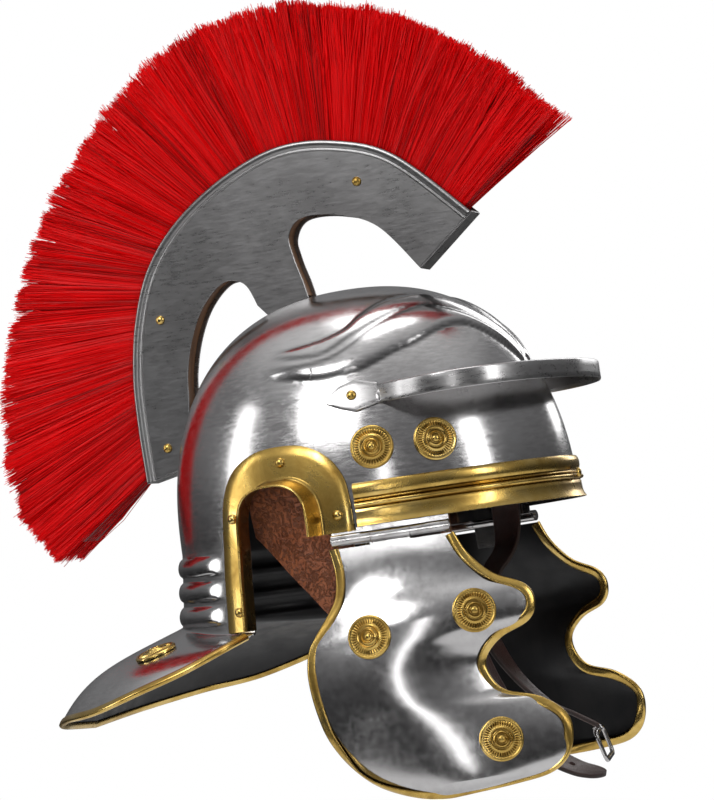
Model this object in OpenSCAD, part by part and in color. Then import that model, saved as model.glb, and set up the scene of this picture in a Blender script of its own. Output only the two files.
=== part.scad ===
// Roman legionary helmet with a crosswise-narrow, fore-and-aft crest.
//
// Frame: millimetres, +Z up. The helmet faces -Y and the wearer's left is +X.
// The origin is the centre of the head opening, in the plane of the brow rim.
// Every right-hand piece is drawn on -X, and its left-hand twin is its mirror.

/* [Bowl] */
// Outside width of the bowl at the rim
bowl_w = 198; // [165:1:238]
// Outside length of the bowl at the rim, front to back
bowl_d = 236; // [196:1:284]
// Height of the crown above the rim
bowl_h = 139; // [115:1:168]
// Thickness of the steel sheet
sheet = 1.2; // [0.8:0.1:2.4]
// Fullness of the bowl in plan, where 2 is an ellipse
plan_power = 2.1; // [2:0.05:2.6]
// Fullness of the bowl from rim to crown, where 2 is an ellipse
dome_power = 2.35; // [2:0.05:2.8]

/* [Nape and neck guard] */
// Depth of the nape below the rim, at the ear openings
nape_side = 49; // [42:1:60]
// Depth of the nape below the rim, at the back
nape_back = 40; // [36:1:50]
// How far the raised ridges stand out of the nape
ridge_h = 2.6; // [1:0.1:4]
// Spacing of the ridges
ridge_pitch = 14; // [12:0.5:15]
// Overall width of the neck guard
guard_w = 268; // [250:1:320]
// How far the neck guard reaches behind the head opening's centre
guard_reach = 199; // [180:1:240]
// Depth of the neck guard's rear edge below the rim
guard_drop = 92; // [78:1:111]

/* [Ear openings] */
// Width of each ear opening
ear_w = 48; // [40:1:56]
// Height of each ear opening above the rim
ear_h = 32.5; // [26:1:40]
// Centre of the opening behind the head opening's centre
ear_y = 22.5; // [18:0.5:27]
// Width of the brass plate round the opening
ear_plate = 18.5; // [12:0.5:22]
// Depth of the flange that turns outward from the opening
ear_flange = 15; // [8:0.5:20]

/* [Brow band and peak] */
// Height of the brass brow band
band_h = 24; // [18:1:30]
// Overall width of the peak
peak_w = 202; // [190:1:240]
// How far the peak reaches in front of the head opening's centre
peak_reach = 139; // [130:1:167]
// Height of the peak's lower edge above the rim
peak_z = 66; // [56:1:76]
// Height of the peak's lip
lip_h = 10.5; // [6:0.5:14]

/* [Crest] */
// Overall thickness of the crest box
crest_t = 17; // [13:0.5:22]
// Thickness of the crest box's sheet
crest_sheet = 1.1; // [0.8:0.1:2]
// Width of the raised border on the crest box
border_w = 6.5; // [3:0.5:9]
// Thickness of the plume at the tips of its hair
plume_tip = 40; // [30:1:50]

/* [Cheek guards] */
// Length of the hinge
hinge_len = 65; // [54:1:78]
// Outside diameter of the hinge tube
tube_d = 6.5; // [5:0.5:8]
// Diameter of the hinge pin
pin_d = 2.8; // [2:0.1:3.4]
// Angle at which the cheek guards hang outward
splay = 4; // [0:1:10]
// How far the middle of a cheek guard bulges outward
cheek_bulge = 13; // [6:1:18]

/* [Trim] */
// Diameter of a rosette
rosette_d = 24; // [18:1:28]
// Diameter of a rivet head
rivet_d = 5.6; // [4:0.2:7]
// Width of the brass edge binding
binding_w = 4.2; // [3:0.1:6]
// Thickness of the brass sheet
brass = 0.9; // [0.6:0.1:1.4]

/* [Straps and lining] */
// Width of the chin straps
strap_w = 19; // [14:1:24]
// Thickness of the strap leather
strap_t = 2.6; // [2:0.1:3]
// Thickness of the lining leather
lining_t = 2; // [1.2:0.1:3]

/* [Hidden] */

$fn = 48;
seat = 0.4;          // gap under a plate that follows a curved surface
clear = 0.3;         // gap under or between small flat pieces
half_w = bowl_w / 2;
half_d = bowl_d / 2;
grow_y = bowl_d / 236;   // the crest and peak outlines keep to the bowl's length
STEEL = "#b9bcc2";
BRASS = "#c9a24a";
RED = "#c4121b";
RUST = "#7a3a22";
BROWN = "#3a2019";
WOOD = "#8a5a34";
SILVER = "#d8d8d8";

// ---- small maths -------------------------------------------------------

function signed_pow(v, p) = sign(v) * pow(abs(v), p);
function mix(a, b, f) = a + (b - a) * f;
function clamp01(f) = max(0, min(1, f));
function ease(f) = let (g = clamp01(f)) g * g * (3 - 2 * g);
function unit(v) = v / norm(v);
function flip_x(p) = [-p[0], p[1], p[2]];

// A smooth curve through the points c, at f from 0 to 1.
function curve(c, f) =
    let (n = len(c) - 1, g = clamp01(f) * n, i = min(floor(g), n - 1), u = g - i,
        a = c[max(i - 1, 0)], b = c[i], d = c[i + 1], e = c[min(i + 2, n)])
    0.5 * (2 * b + (d - a) * u + (2 * a - 5 * b + 4 * d - e) * u * u
        + (3 * b - a - 3 * d + e) * u * u * u);

// The same curve as n equal steps.
function curve_points(c, n) = [for (i = [0 : n]) curve(c, i / n)];

// A plane outline shifted sideways by d: to the left of its run when d is positive.
function inset(c, d) = [for (i = [0 : len(c) - 1])
    let (t = unit(c[min(i + 1, len(c) - 1)] - c[max(i - 1, 0)])) c[i] + d * [-t[1], t[0]]];

// ---- solids from rings -------------------------------------------------

// A solid through rings of points. Each ring goes out along one side of a thick strip and
// back along the other, so that its ends can be capped side to side.
module loft(rings) {
    n = len(rings);
    m = len(rings[0]);
    sides = [for (i = [0 : n - 2], j = [0 : m - 1])
        let (a = i * m + j, b = i * m + (j + 1) % m, c = b + m, d = a + m)
        each [[a, b, c], [a, c, d]]];
    caps = [for (e = [0, 1], j = [0 : m / 2 - 2])
        let (o = e * (n - 1) * m, a = o + j, b = a + 1, c = o + m - 2 - j, d = c + 1)
        each e == 0 ? [[a, d, c], [a, c, b]] : [[a, c, d], [a, b, c]]];
    points = [for (r = rings) each r];
    faces = concat(sides, caps);
    // Rings that run the other way round give a solid that is inside out, so it is turned.
    size = [for (f = faces) points[f[0]] * cross(points[f[1]], points[f[2]])] * [for (f = faces) 1];
    polyhedron(points, size < 0 ? faces : [for (f = faces) [f[0], f[2], f[1]]], convexity = 10);
}

// Stands a child on point p with its Z axis along n.
module stand_on(p, n) {
    translate(p) rotate([0, acos(n[2] / norm(n)), atan2(n[1], n[0])]) children();
}

// ---- bowl surface ------------------------------------------------------

// Azimuth a runs from 0 at the front, through 90 on the wearer's left, to 180 at the back.
function azimuth(y) = acos(-signed_pow(y / half_d, plan_power / 2));
function plan_point(a, out) = [(half_w + out) * signed_pow(sin(a), 2 / plan_power),
    -(half_d + out) * signed_pow(cos(a), 2 / plan_power)];

// Point of the bowl at azimuth a and height z above the rim, `out` outside its surface.
function dome_point(a, z, out = 0) =
    let (k = pow(1 - pow(min(z / (bowl_h + out), 1), dome_power), 1 / dome_power),
        p = plan_point(a, out) * k) [p[0], p[1], z];

// The nape's walls flare a little as they go down.
function nape_flare(z) = 1 + 0.001 * max(-z, 0);
function nape_point(a, z, out = 0) =
    let (p = plan_point(a, out) * nape_flare(z)) [p[0], p[1], z];

// Distance from the middle plane to the wall at (y, z), and the point there on the right.
function wall_x(y, z, out = 0) =
    let (f = nape_flare(z), k = pow(1 - pow(max(z, 0) / (bowl_h + out), dome_power), plan_power / dome_power),
        r = k - pow(abs(y) / (half_d + out) / f, plan_power))
    (half_w + out) * f * pow(max(r, 0), 1 / plan_power);
function wall_point(y, z, out = 0) = [-wall_x(y, z, out), y, z];
function wall_normal(y, z) =
    let (x = wall_x(y, z) / half_w, u = abs(y) / half_d, w = max(z, 0) / bowl_h,
        s = pow(x, plan_power) + pow(u, plan_power), q = pow(s, dome_power / plan_power - 1))
    unit([-q * pow(x, plan_power - 1) / half_w,
        q * sign(y) * pow(u, plan_power - 1) / half_d, pow(w, dome_power - 1) / bowl_h]);

// Height of the bowl above the rim on the line x, y.
function crown_z(x, y, out = 0) =
    let (s = pow(abs(x) / (half_w + out), plan_power) + pow(abs(y) / (half_d + out), plan_power))
    (bowl_h + out) * pow(max(1 - pow(s, dome_power / plan_power), 0), 1 / dome_power);

// ---- bowl mesh ---------------------------------------------------------

ear_shoulder = 8;    // height at which the ear opening's sides start to arch
front_steps = 17;    // columns from the front to the ear opening
arch_steps = 10;     // columns across the ear opening
back_steps = 12;     // columns from the ear opening to the back
dome_rows = 10;
guard_rows = 5;

ear_front = azimuth(ear_y - ear_w / 2);
ear_back = azimuth(ear_y + ear_w / 2);
function arch_y(i) = ear_y - ear_w / 2 * cos(180 * (i + 0.5) / arch_steps);
function arch_z(y) = ear_shoulder + (ear_h - ear_shoulder)
    * pow(1 - pow(abs(y - ear_y) / (ear_w / 2), 2.4), 1 / 2.4);

half_columns = concat(
    [for (i = [0 : front_steps]) ear_front * i / front_steps],
    [for (i = [0 : arch_steps - 1]) azimuth(arch_y(i))],
    [for (i = [0 : back_steps]) mix(ear_back, 180, i / back_steps)]);
columns = concat(half_columns, [for (i = [len(half_columns) - 2 : -1 : 1]) 360 - half_columns[i]]);
first_back = front_steps + 1 + arch_steps;
back_count = 2 * back_steps + 1;

// Height of the steel's lower edge in column k of the dome.
function fold(k) = k < len(half_columns) ? k : len(columns) - k;
function dome_edge(k) = let (i = fold(k) - front_steps - 1)
    i >= 0 && i < arch_steps ? arch_z(arch_y(i)) : 0;
function dome_grid(k, i, out) =
    let (h = bowl_h + out, low = asin(pow(dome_edge(k) / h, dome_power / 2)),
        e = mix(90, low, i / dome_rows), z = h * pow(sin(e), 2 / dome_power),
        p = plan_point(columns[k], out) * pow(cos(e), 2 / dome_power))
    [p[0], p[1], z];

// Share of the way from the ear opening (0) to the back (1).
function backness(k) = let (j = k - first_back) 1 - abs(j - back_steps) / back_steps;

// Rows of the nape: depth at the back, and how much of the ridge's height it has.
ridge_depths = [for (i = [0 : 2]) 6.5 + i * ridge_pitch];
nape_rows = [for (c = ridge_depths) each [[c - 5, 0], [c - 2.3, 1], [c + 2.3, 1], [c + 5, 0]]];
function nape_root(f) = -mix(nape_side, nape_back, ease(f));
function nape_grid(k, row, out) =
    let (f = backness(k), depth = row[0] + 3 * (1 - f),
        z = max(-depth, nape_root(f) + 0.5), lift = row[1] * ridge_h * ease((f - 0.167) / 0.1))
    nape_point(columns[k], z, out + lift);

// Edge of the neck guard, from the ear opening round the left side to the back.
guard_side = guard_w / 2;
guard_edge = let (c = nape_point(ear_back, -nape_side - 1, 2), y0 = c[1], y = guard_reach) [
    c,
    [mix(c[0], guard_side, 0.6), mix(y0, y, 0.07), -mix(nape_side, guard_drop, 0.16)],
    [mix(c[0], guard_side, 0.92), mix(y0, y, 0.21), -mix(nape_side, guard_drop, 0.36)],
    [guard_side, mix(y0, y, 0.38), -mix(nape_side, guard_drop, 0.53)],
    [guard_side * 0.93, mix(y0, y, 0.6), -mix(nape_side, guard_drop, 0.72)],
    [guard_side * 0.75, mix(y0, y, 0.8), -mix(nape_side, guard_drop, 0.8)],
    [guard_side * 0.42, mix(y0, y, 0.955), -mix(nape_side, guard_drop, 0.91)],
    [0, y, -guard_drop]];
function guard_rim(k) = let (j = k - first_back, p = curve(guard_edge, backness(k)))
    j <= back_steps ? p : flip_x(p);
function guard_sag(u) = 0.58 * u + 0.42 * pow(u, 5);
function guard_out(k) = let (p = plan_point(columns[k], 0)) unit([p[0], p[1], 0]);
function guard_grid(k, u, thick) =
    let (root = nape_point(columns[k], nape_root(backness(k))), rim = guard_rim(k),
        p = [mix(root[0], rim[0], u), mix(root[1], rim[1], u), mix(root[2], rim[2], guard_sag(u))])
    p - thick * (u == 0 ? guard_out(k) + [0, 0, 1] : unit(0.4 * guard_out(k) + [0, 0, 1]));

function back_grid(k, out) = concat(
    [for (row = nape_rows) nape_grid(k, row, out)],
    [for (i = [0 : guard_rows]) guard_grid(k, i / guard_rows, -out)]);

module bowl() {
    n = len(columns);
    dome_n = n * dome_rows;
    back_n = len(nape_rows) + guard_rows + 1;
    skin_n = 1 + dome_n + back_count * back_n;
    points = [for (out = [0, -sheet]) each concat(
        [[0, 0, bowl_h + out]],
        [for (k = [0 : n - 1], i = [1 : dome_rows]) dome_grid(k, i, out)],
        [for (k = [0 : back_count - 1]) each back_grid(first_back + k, out)])];
    // Indexes of a dome point, and of a back point whose row 0 is the dome's last row.
    function dome_i(k, i) = 1 + (k % n) * dome_rows + i - 1;
    function back_i(k, r) = r == 0 ? dome_i(first_back + k, dome_rows)
        : 1 + dome_n + k * back_n + r - 1;
    quads = concat(
        [for (k = [0 : n - 1], i = [1 : dome_rows - 1])
            [dome_i(k, i), dome_i(k, i + 1), dome_i(k + 1, i + 1), dome_i(k + 1, i)]],
        [for (k = [0 : back_count - 2], r = [0 : back_n - 1])
            [back_i(k, r), back_i(k, r + 1), back_i(k + 1, r + 1), back_i(k + 1, r)]]);
    skin = concat([for (k = [0 : n - 1]) [0, dome_i(k, 1), dome_i(k + 1, 1)]],
        [for (q = quads) each [[q[0], q[1], q[2]], [q[0], q[2], q[3]]]]);
    front_edge = [for (k = [0 : n - 1]) if (k < first_back || k >= first_back + back_count - 1)
        [dome_i(k, dome_rows), dome_i(k + 1, dome_rows)]];
    guard_edges = [for (k = [0 : back_count - 2]) [back_i(k, back_n), back_i(k + 1, back_n)]];
    ear_edges = [for (r = [0 : back_n - 1]) each [
        [back_i(0, r), back_i(0, r + 1)],
        [back_i(back_count - 1, r + 1), back_i(back_count - 1, r)]]];
    edges = concat(front_edge, guard_edges, ear_edges);
    color(STEEL) polyhedron(points, concat(
        [for (f = skin) [f[0], f[2], f[1]]],
        [for (f = skin) [f[0] + skin_n, f[1] + skin_n, f[2] + skin_n]],
        [for (e = edges) each [[e[0], e[1], e[1] + skin_n], [e[0], e[1] + skin_n, e[0] + skin_n]]]),
        convexity = 10);
}
bowl();

// ---- brow band and peak ------------------------------------------------

// The band's outer face: how far it stands out, and its height as a share of the band's.
band_profile = [[3.4, 0], [2, 0.16], [1.8, 0.4], [3.6, 0.46], [3.6, 0.56], [1.8, 0.62], [2.3, 1]];
band_steps = 28;
band_end = azimuth(ear_y - ear_w / 2 - ear_plate - 1);
module brow_band() {
    function ring(a) = concat(
        [for (p = band_profile) dome_point(a, p[1] * band_h, p[0])],
        [for (i = [len(band_profile) - 1 : -1 : 0])
            dome_point(a, band_profile[i][1] * band_h, seat)]);
    color(BRASS) loft([for (i = [0 : band_steps]) ring(mix(-band_end, band_end, i / band_steps))]);
}
brow_band();

// A rivet: a low dome on a short shank.
module rivet() {
    rotate_extrude() polygon(concat([[0, 0], [rivet_d / 2, 0]],
        [for (i = [0 : 6]) [rivet_d / 2 * cos(15 * i), 0.35 + rivet_d * 0.34 * sin(15 * i)]]));
}
module wall_rivet(y, z, out) {
    stand_on(wall_point(y, z, out), wall_normal(y, z)) rivet();
}

module band_rivet() {
    color(BRASS) translate([0, -half_d - 3.6 - clear, band_h * 0.56]) rotate([90, 0, 0]) rivet();
}
band_rivet();

// The lip's path on the right, from where it leaves the bowl to the front, and its tab.
peak_turn = -40 * grow_y;
peak_half = peak_w / 2;
peak_side = wall_x(peak_turn, peak_z, seat);
lip_path = [
    [-peak_side - 0.2, peak_turn],
    [-mix(peak_side, peak_half, 0.62), peak_turn - 17],
    [-peak_half, peak_turn - 40],
    [-peak_half * 0.906, mix(peak_turn - 40, -peak_reach, 0.423)],
    [-peak_half * 0.643, mix(peak_turn - 40, -peak_reach, 0.766)],
    [-peak_half * 0.259, mix(peak_turn - 40, -peak_reach, 0.966)],
    [0, -peak_reach]];
lip_steps = 22;
lip_t = 1.2;
lip_top = peak_z + lip_h;
// The pointed tab on the bowl's side, from its tip forward: y, lower and upper edge above peak_z.
tab_seat = seat + 0.25;
peak_tab = [[-10, 4, 6], [-18, 0, 12.5], [-27, -3, 15], [-33, -1.5, 13], [-39, 0, 11.5]];

// One bent sheet: each ring is the shelf's inner edge, the lip's outer face and its inner face.
module peak() {
    half = curve_points(lip_path, lip_steps / 2);
    path = concat(half, [for (i = [len(half) - 2 : -1 : 0]) [-half[i][0], half[i][1]]]);
    inner = inset(path, lip_t);
    function seat_on_bowl(p) = let (c = atan2(abs(p[0]) / half_w, -p[1] / half_d),
        b = dome_point(azimuth(-half_d * cos(c)), lip_top, tab_seat)) [sign(p[0]) * b[0], b[1]];
    lip = [for (i = [1 : len(path) - 2]) let (p = path[i], q = inner[i], b = seat_on_bowl(p)) [
        [b[0], b[1], lip_top], [p[0], p[1], lip_top], [p[0], p[1], peak_z],
        [q[0], q[1], peak_z], [q[0], q[1], lip_top - lip_t], [b[0], b[1], lip_top - lip_t]]];
    tab = [for (t = peak_tab) let (y = t[0] * grow_y, lo = peak_z + t[1], hi = peak_z + t[2]) [
        wall_point(y, hi, tab_seat), wall_point(y, hi, seat + lip_t),
        wall_point(y, lo, seat + lip_t), wall_point(y, lo, tab_seat),
        wall_point(y, mix(lo, hi, 0.4), tab_seat), wall_point(y, mix(lo, hi, 0.8), tab_seat)]];
    color(STEEL) loft(concat(tab, lip,
        [for (i = [len(tab) - 1 : -1 : 0]) [for (p = tab[i]) flip_x(p)]]));
}
peak();

peak_rivet_at = [-25 * grow_y, peak_z + 6.5];
module peak_rivet(side) {
    color(BRASS) mirror([side, 0, 0])
        wall_rivet(peak_rivet_at[0], peak_rivet_at[1], seat + lip_t + clear);
}
peak_rivet(0);  // peak_rivet_right
peak_rivet(1);  // peak_rivet_left

// ---- ear guards --------------------------------------------------------

// Stations round the opening, front foot to back foot: the inner edge as shares of the
// opening's half width and height, and the plate's outer edge as shares of its width.
ear_stations = [[-1, 0, -1, 0], [-1, 0.34, -1, 0.12], [-0.93, 0.62, -0.95, 0.5],
    [-0.72, 0.84, -0.76, 0.8], [-0.4, 0.97, -0.42, 1], [0, 1, -0.02, 1.05],
    [0.36, 0.97, 0.36, 1], [0.68, 0.84, 0.7, 0.82], [0.88, 0.6, 0.9, 0.5],
    [0.97, 0.25, 0.98, 0.15]];
ear_bottom = -nape_side + 1.2;
// Each station as [outer y, outer z, inner y, inner z].
ear_rim = concat(
    [for (s = ear_stations) let (hw = ear_w / 2 - 1, hh = ear_h - 1.2) [
        ear_y + s[0] * hw + s[2] * ear_plate, s[1] * hh + s[3] * ear_plate - (s[1] == 0 ? 1.6 : 0),
        ear_y + s[0] * hw, s[1] * hh - (s[1] == 0 ? 1.6 : 0)]],
    [for (f = [0.35, 0.68, 1]) let (z = ear_bottom * f) [
        ear_y + ear_w / 2 + ear_plate + 2 * f, z, ear_y + ear_w / 2 - 0.8 + 1.4 * f, z]]);
ear_steps = 30;
ear_seat = seat + 0.2;
ear_tilt = 15;       // how far the flange leans over the opening
module ear_guard() {
    function ring(s) =
        let (o = [s[0], s[1]], i = [s[2], s[3]], n = wall_normal(i[0], max(i[1], 0)),
            p = wall_point(i[0], i[1], ear_seat), q = wall_point(i[0], i[1], ear_seat + brass), lean = unit([0, ear_y - i[0], min(0, 6 - i[1])]),
            f = unit(n * cos(ear_tilt) + lean * sin(ear_tilt)), tip = q + f * ear_flange)
        [wall_point(o[0], o[1], ear_seat + brass), q - lean * brass, tip - lean * brass,
            tip, p, wall_point(o[0], o[1], ear_seat)];
    loft([for (s = curve_points(ear_rim, ear_steps)) ring(s)]);
}
color(BRASS) ear_guard();  // ear_guard_right
color(BRASS) mirror([1, 0, 0]) ear_guard();  // ear_guard_left

module ear_rivets() {
    mid = ear_plate / 2;
    spots = [[ear_y - ear_w / 2 - mid, 8], [ear_y - 3, ear_h + mid],
        [ear_y + ear_w / 2 + mid - 1, 15], [ear_y + ear_w / 2 + mid + 1.5, -37]];
    for (s = spots) wall_rivet(s[0], s[1], ear_seat + brass + clear);
}
color(BRASS) ear_rivets();  // ear_rivets_right
color(BRASS) mirror([1, 0, 0]) ear_rivets();  // ear_rivets_left

// ---- edge binding ------------------------------------------------------

// A channel folded over the edge of a sheet. At p the sheet's outer face has the normal n,
// the sheet runs inward along w, and it is t thick.
binding_gap = 0.8;
function binding_ring(p, n, w, t) =
    let (far = binding_w, c = binding_gap, b = brass)
    [p + n * (c + b) + w * far, p + n * (c + b) - w * (c + b),
        p - n * (t + c + b) - w * (c + b), p - n * (t + c + b) + w * far,
        p - n * (t + c) + w * far, p - n * (t + c) - w * c, p + n * c - w * c, p + n * c + w * far];

module neck_trim() {
    function frame_at(k) = let (f = backness(k), p = guard_rim(k), q = guard_grid(k, 0.8, 0),
        a = guard_rim(max(k - 1, first_back)), b = guard_rim(min(k + 1, first_back + back_count - 1)),
        run = unit(b - a), w0 = unit(q - p), w = unit(w0 - run * (w0 * run)),
        n0 = cross(run, w), n = n0[2] < 0 ? -n0 : n0) binding_ring(p, n, w, sheet);
    color(BRASS) loft([for (k = [first_back + 1 : first_back + back_count - 2]) frame_at(k)]);
}
neck_trim();

// ---- crest -------------------------------------------------------------

// Outlines of the crest seen from the side, as [y, height above the crown].
crest_outer = [for (p = [[138.5, -92], [139, -58], [137.5, -28], [131, 4], [118, 34], [95, 59], [62, 79],
    [26, 90], [-10, 87], [-45, 72], [-85, 32]]) [p[0] * grow_y, p[1] + bowl_h]];
crest_loop = [for (p = [[117, -88], [106, -58], [102.5, -32], [96, -11], [86, 6], [72, 17], [59, 14],
    [52.5, 0]]) [p[0] * grow_y, p[1] + bowl_h]];
crest_front = [for (p = [[22.5, 10], [26, 24], [27, 37], [18, 46], [-4, 44], [-28, 33], [-49.7, 5]])
    [p[0] * grow_y, p[1] + bowl_h]];
stem_y = [47 * grow_y, 20.5 * grow_y];

function foot(y) = [y, crown_z(0, y, seat)];
function crest_side(d) = concat(
    inset(curve_points(crest_outer, 40), d),
    inset([for (i = [18 : -1 : 0]) curve(crest_front, i / 18)], d),
    [for (i = [0 : 4]) foot(mix(stem_y[1] + d, stem_y[0] - d, i / 4)) + [0, d]],
    inset([for (i = [20 : -1 : 0]) curve(crest_loop, i / 20)], d));

// A plate in the crest's plane, t thick, centred on x.
module crest_slab(outline, x, t) {
    translate([x - t / 2, 0, 0]) rotate([90, 0, 90]) linear_extrude(t) polygon(outline);
}
module crest_box() {
    plate_x = (crest_t - crest_sheet) / 2;
    outer = curve_points(crest_outer, 40);
    inner = inset(outer, border_w);
    border = concat(outer, [for (i = [len(inner) - 1 : -1 : 0]) inner[i]]);
    tip = crest_outer[len(crest_outer) - 1];
    chin = crest_front[len(crest_front) - 1];
    back = crest_outer[0];
    heel = crest_loop[0];
    // A strap across the box between two corners, d deep.
    function closing(a, b, d) = let (t = unit(b - a), n = d * [t[1], -t[0]]) [a, b, b + n, a + n];
    color(STEEL) {
        for (s = [-1, 1]) {
            crest_slab(crest_side(0), s * plate_x, crest_sheet);
            crest_slab(border, s * (plate_x + 0.25), crest_sheet + 0.5);
        }
        crest_slab(closing(chin, tip, -crest_sheet), 0, crest_t - 0.4);
        crest_slab(closing(back, heel, -crest_sheet), 0, crest_t - 0.4);
    }
}
crest_box();

root_depth = border_w + 1;   // how far the plume's roots reach into the box
core_t = crest_t - 2 * crest_sheet - 2 * clear;
module crest_core() {
    outer = curve_points(crest_outer, 40);
    rim = inset(outer, root_depth + 2 * clear);
    last = len(rim) - 2;
    shape = concat([for (i = [1 : last]) rim[i]],
        inset([for (i = [17 : -1 : 0]) curve(crest_front, i / 18)], 2.5),
        [for (i = [0 : 4]) foot(mix(stem_y[1] + 2.5, stem_y[0] - 2.5, i / 4)) + [0, 2.5]],
        inset([for (i = [20 : -1 : 1]) curve(crest_loop, i / 20)], 2.5));
    color(WOOD) crest_slab(shape, 0, core_t);
}
crest_core();

module crest_rivets() {
    spots = [[-19.6 * grow_y, bowl_h + 61], [115 * grow_y, bowl_h + 2], [122 * grow_y, bowl_h - 74]];
    for (s = spots, side = [-1, 1])
        translate([side * (crest_t / 2 + clear), s[0], s[1]]) rotate([0, side * 90, 0]) rivet();
}
color(BRASS) crest_rivets();

// Tips of the plume's hair, matching the crest's outer outline from its foot to its front.
plume_tips = [for (p = [[197, -134], [221, -99], [223, -46], [211, 7], [188, 59], [152, 107], [101, 152],
    [38, 171], [-25, 165], [-86, 135], [-148, 75]]) [p[0] * grow_y, p[1] + bowl_h]];
plume_steps = 26;
module plume() {
    base_t = core_t - 0.4;
    // Shares of the hair's length, and the plume's thickness there.
    bulk = [[0, base_t], [0.12, base_t], [0.35, mix(base_t, plume_tip, 0.42)],
        [0.75, mix(base_t, plume_tip, 0.85)], [1, plume_tip]];
    root = inset(curve_points(crest_outer, plume_steps), root_depth);
    rings = [for (i = [0 : plume_steps]) let (f = mix(0.012, 0.988, i / plume_steps),
        a = curve(crest_outer, f), b = curve(plume_tips, f), r0 = unit(b - a),
        r = a - r0 * root_depth) concat(
        [for (s = bulk) let (p = mix(r, b, s[0])) [-s[1] / 2, p[0], p[1]]],
        [for (j = [len(bulk) - 1 : -1 : 0]) let (s = bulk[j], p = mix(r, b, s[0])) [s[1] / 2, p[0], p[1]]])];
    color(RED) loft(rings);
}
plume();

// ---- rosettes ----------------------------------------------------------

// A pressed brass boss: a rolled rim, a dished ring, a raised ring and a centre stud.
module rosette() {
    r = rosette_d / 2;
    rotate_extrude() polygon([[0, 0], [r, 0], [r, 0.9], [r - 0.6, 1.7], [r - 1.5, 1.7], [r - 2, 1.1],
        [r * 0.52, 2.1], [r * 0.46, 2.9], [r * 0.36, 2.9], [r * 0.32, 2.2], [r * 0.24, 2.3],
        [r * 0.2, 3.6], [r * 0.1, 4.4], [0, 4.6]]);
}
module wall_rosette(y, z) {
    color(BRASS) stand_on(wall_point(y, z, clear), wall_normal(y, z)) rosette();
}
bowl_spots = [[-33.8, 42.4], [-66.5, 41.7]];
wall_rosette(bowl_spots[0][0], bowl_spots[0][1]);  // bowl_rosette_right_1
wall_rosette(bowl_spots[1][0], bowl_spots[1][1]);  // bowl_rosette_right_2
mirror([1, 0, 0]) wall_rosette(bowl_spots[0][0], bowl_spots[0][1]);  // bowl_rosette_left_1
mirror([1, 0, 0]) wall_rosette(bowl_spots[1][0], bowl_spots[1][1]);  // bowl_rosette_left_2

// A rosette on the neck guard, in column k and at share u of the way to its edge.
module neck_rosette(k, u) {
    p = guard_grid(k, u, 0);
    n0 = cross(guard_grid(k + 0.5, u, 0) - guard_grid(k - 0.5, u, 0),
        guard_grid(k, u + 0.08, 0) - guard_grid(k, u - 0.08, 0));
    n = n0[2] < 0 ? -n0 : n0;
    color(BRASS) stand_on(p + unit(n) * 0.6, n) rosette();
}
neck_rosette(first_back + 2 * back_steps - 6, 0.45);  // neck_rosette_right
neck_rosette(first_back + back_steps, 0.5);  // neck_rosette_back
neck_rosette(first_back + 6, 0.45);  // neck_rosette_left

// ---- cheek guard hinges ------------------------------------------------

// The hinge line runs forward from its rear end, level and just below the rim.
hinge_z = -6;
hinge_rear_y = -6;
hinge_out = 3.6;     // the line's rear end stands this far out from the bowl
hinge_toe = 14.6;    // its front end turns in by this angle
hinge_at = [-wall_x(hinge_rear_y, 0) - hinge_out, hinge_rear_y, hinge_z];
along = [sin(hinge_toe), -cos(hinge_toe), 0];
outward = [-cos(hinge_toe), -sin(hinge_toe), 0];
tube_r = tube_d / 2;
knuckle_gap = 0.4;
knuckle = (hinge_len - 2 * knuckle_gap) / 3;
pin_slack = 0.08;    // the pin's clearance in its knuckles
leaf_t = 1;
leaf_in = 5.5;         // the fixed leaf hangs this far inside the hinge line
leaf_h = 14;
leaf_gap = 0.8;
weld = 0.01;         // overlap between a leaf and its arms

// Draws a child in the hinge's frame: X forward along the line, Y outward, Z up.
module at_hinge() {
    multmatrix([[along[0], outward[0], 0, hinge_at[0]], [along[1], outward[1], 0, hinge_at[1]],
        [0, 0, 1, hinge_at[2]]]) children();
}
module knuckle_tube(i) {
    translate([i * (knuckle + knuckle_gap), 0, 0]) rotate([0, 90, 0]) difference() {
        children();
        translate([0, 0, -1]) cylinder(r = pin_d / 2 + pin_slack, h = knuckle + 2);
    }
}

// The fixed leaf: a plate inside the rim with a bent arm to each of the two outer knuckles.
module hinge_leaf() {
    at_hinge() {
        for (i = [0, 2]) {
            knuckle_tube(i) union() {
                cylinder(r = tube_r, h = knuckle);
                translate([-tube_r, -leaf_in, 0]) cube([leaf_t, leaf_in, knuckle]);
            }
        }
        translate([0, -leaf_in - leaf_t, tube_r - leaf_t]) cube([hinge_len, leaf_t + weld, leaf_h]);
    }
}
color(SILVER) hinge_leaf();  // hinge_leaf_right
color(SILVER) mirror([1, 0, 0]) hinge_leaf();  // hinge_leaf_left

module hinge_pin() {
    at_hinge() translate([-0.6, 0, 0]) rotate([0, 90, 0]) cylinder(d = pin_d, h = hinge_len + 1.2);
}
color(SILVER) hinge_pin();  // hinge_pin_right
color(SILVER) mirror([1, 0, 0]) hinge_pin();  // hinge_pin_left

// ---- cheek guards ------------------------------------------------------

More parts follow.
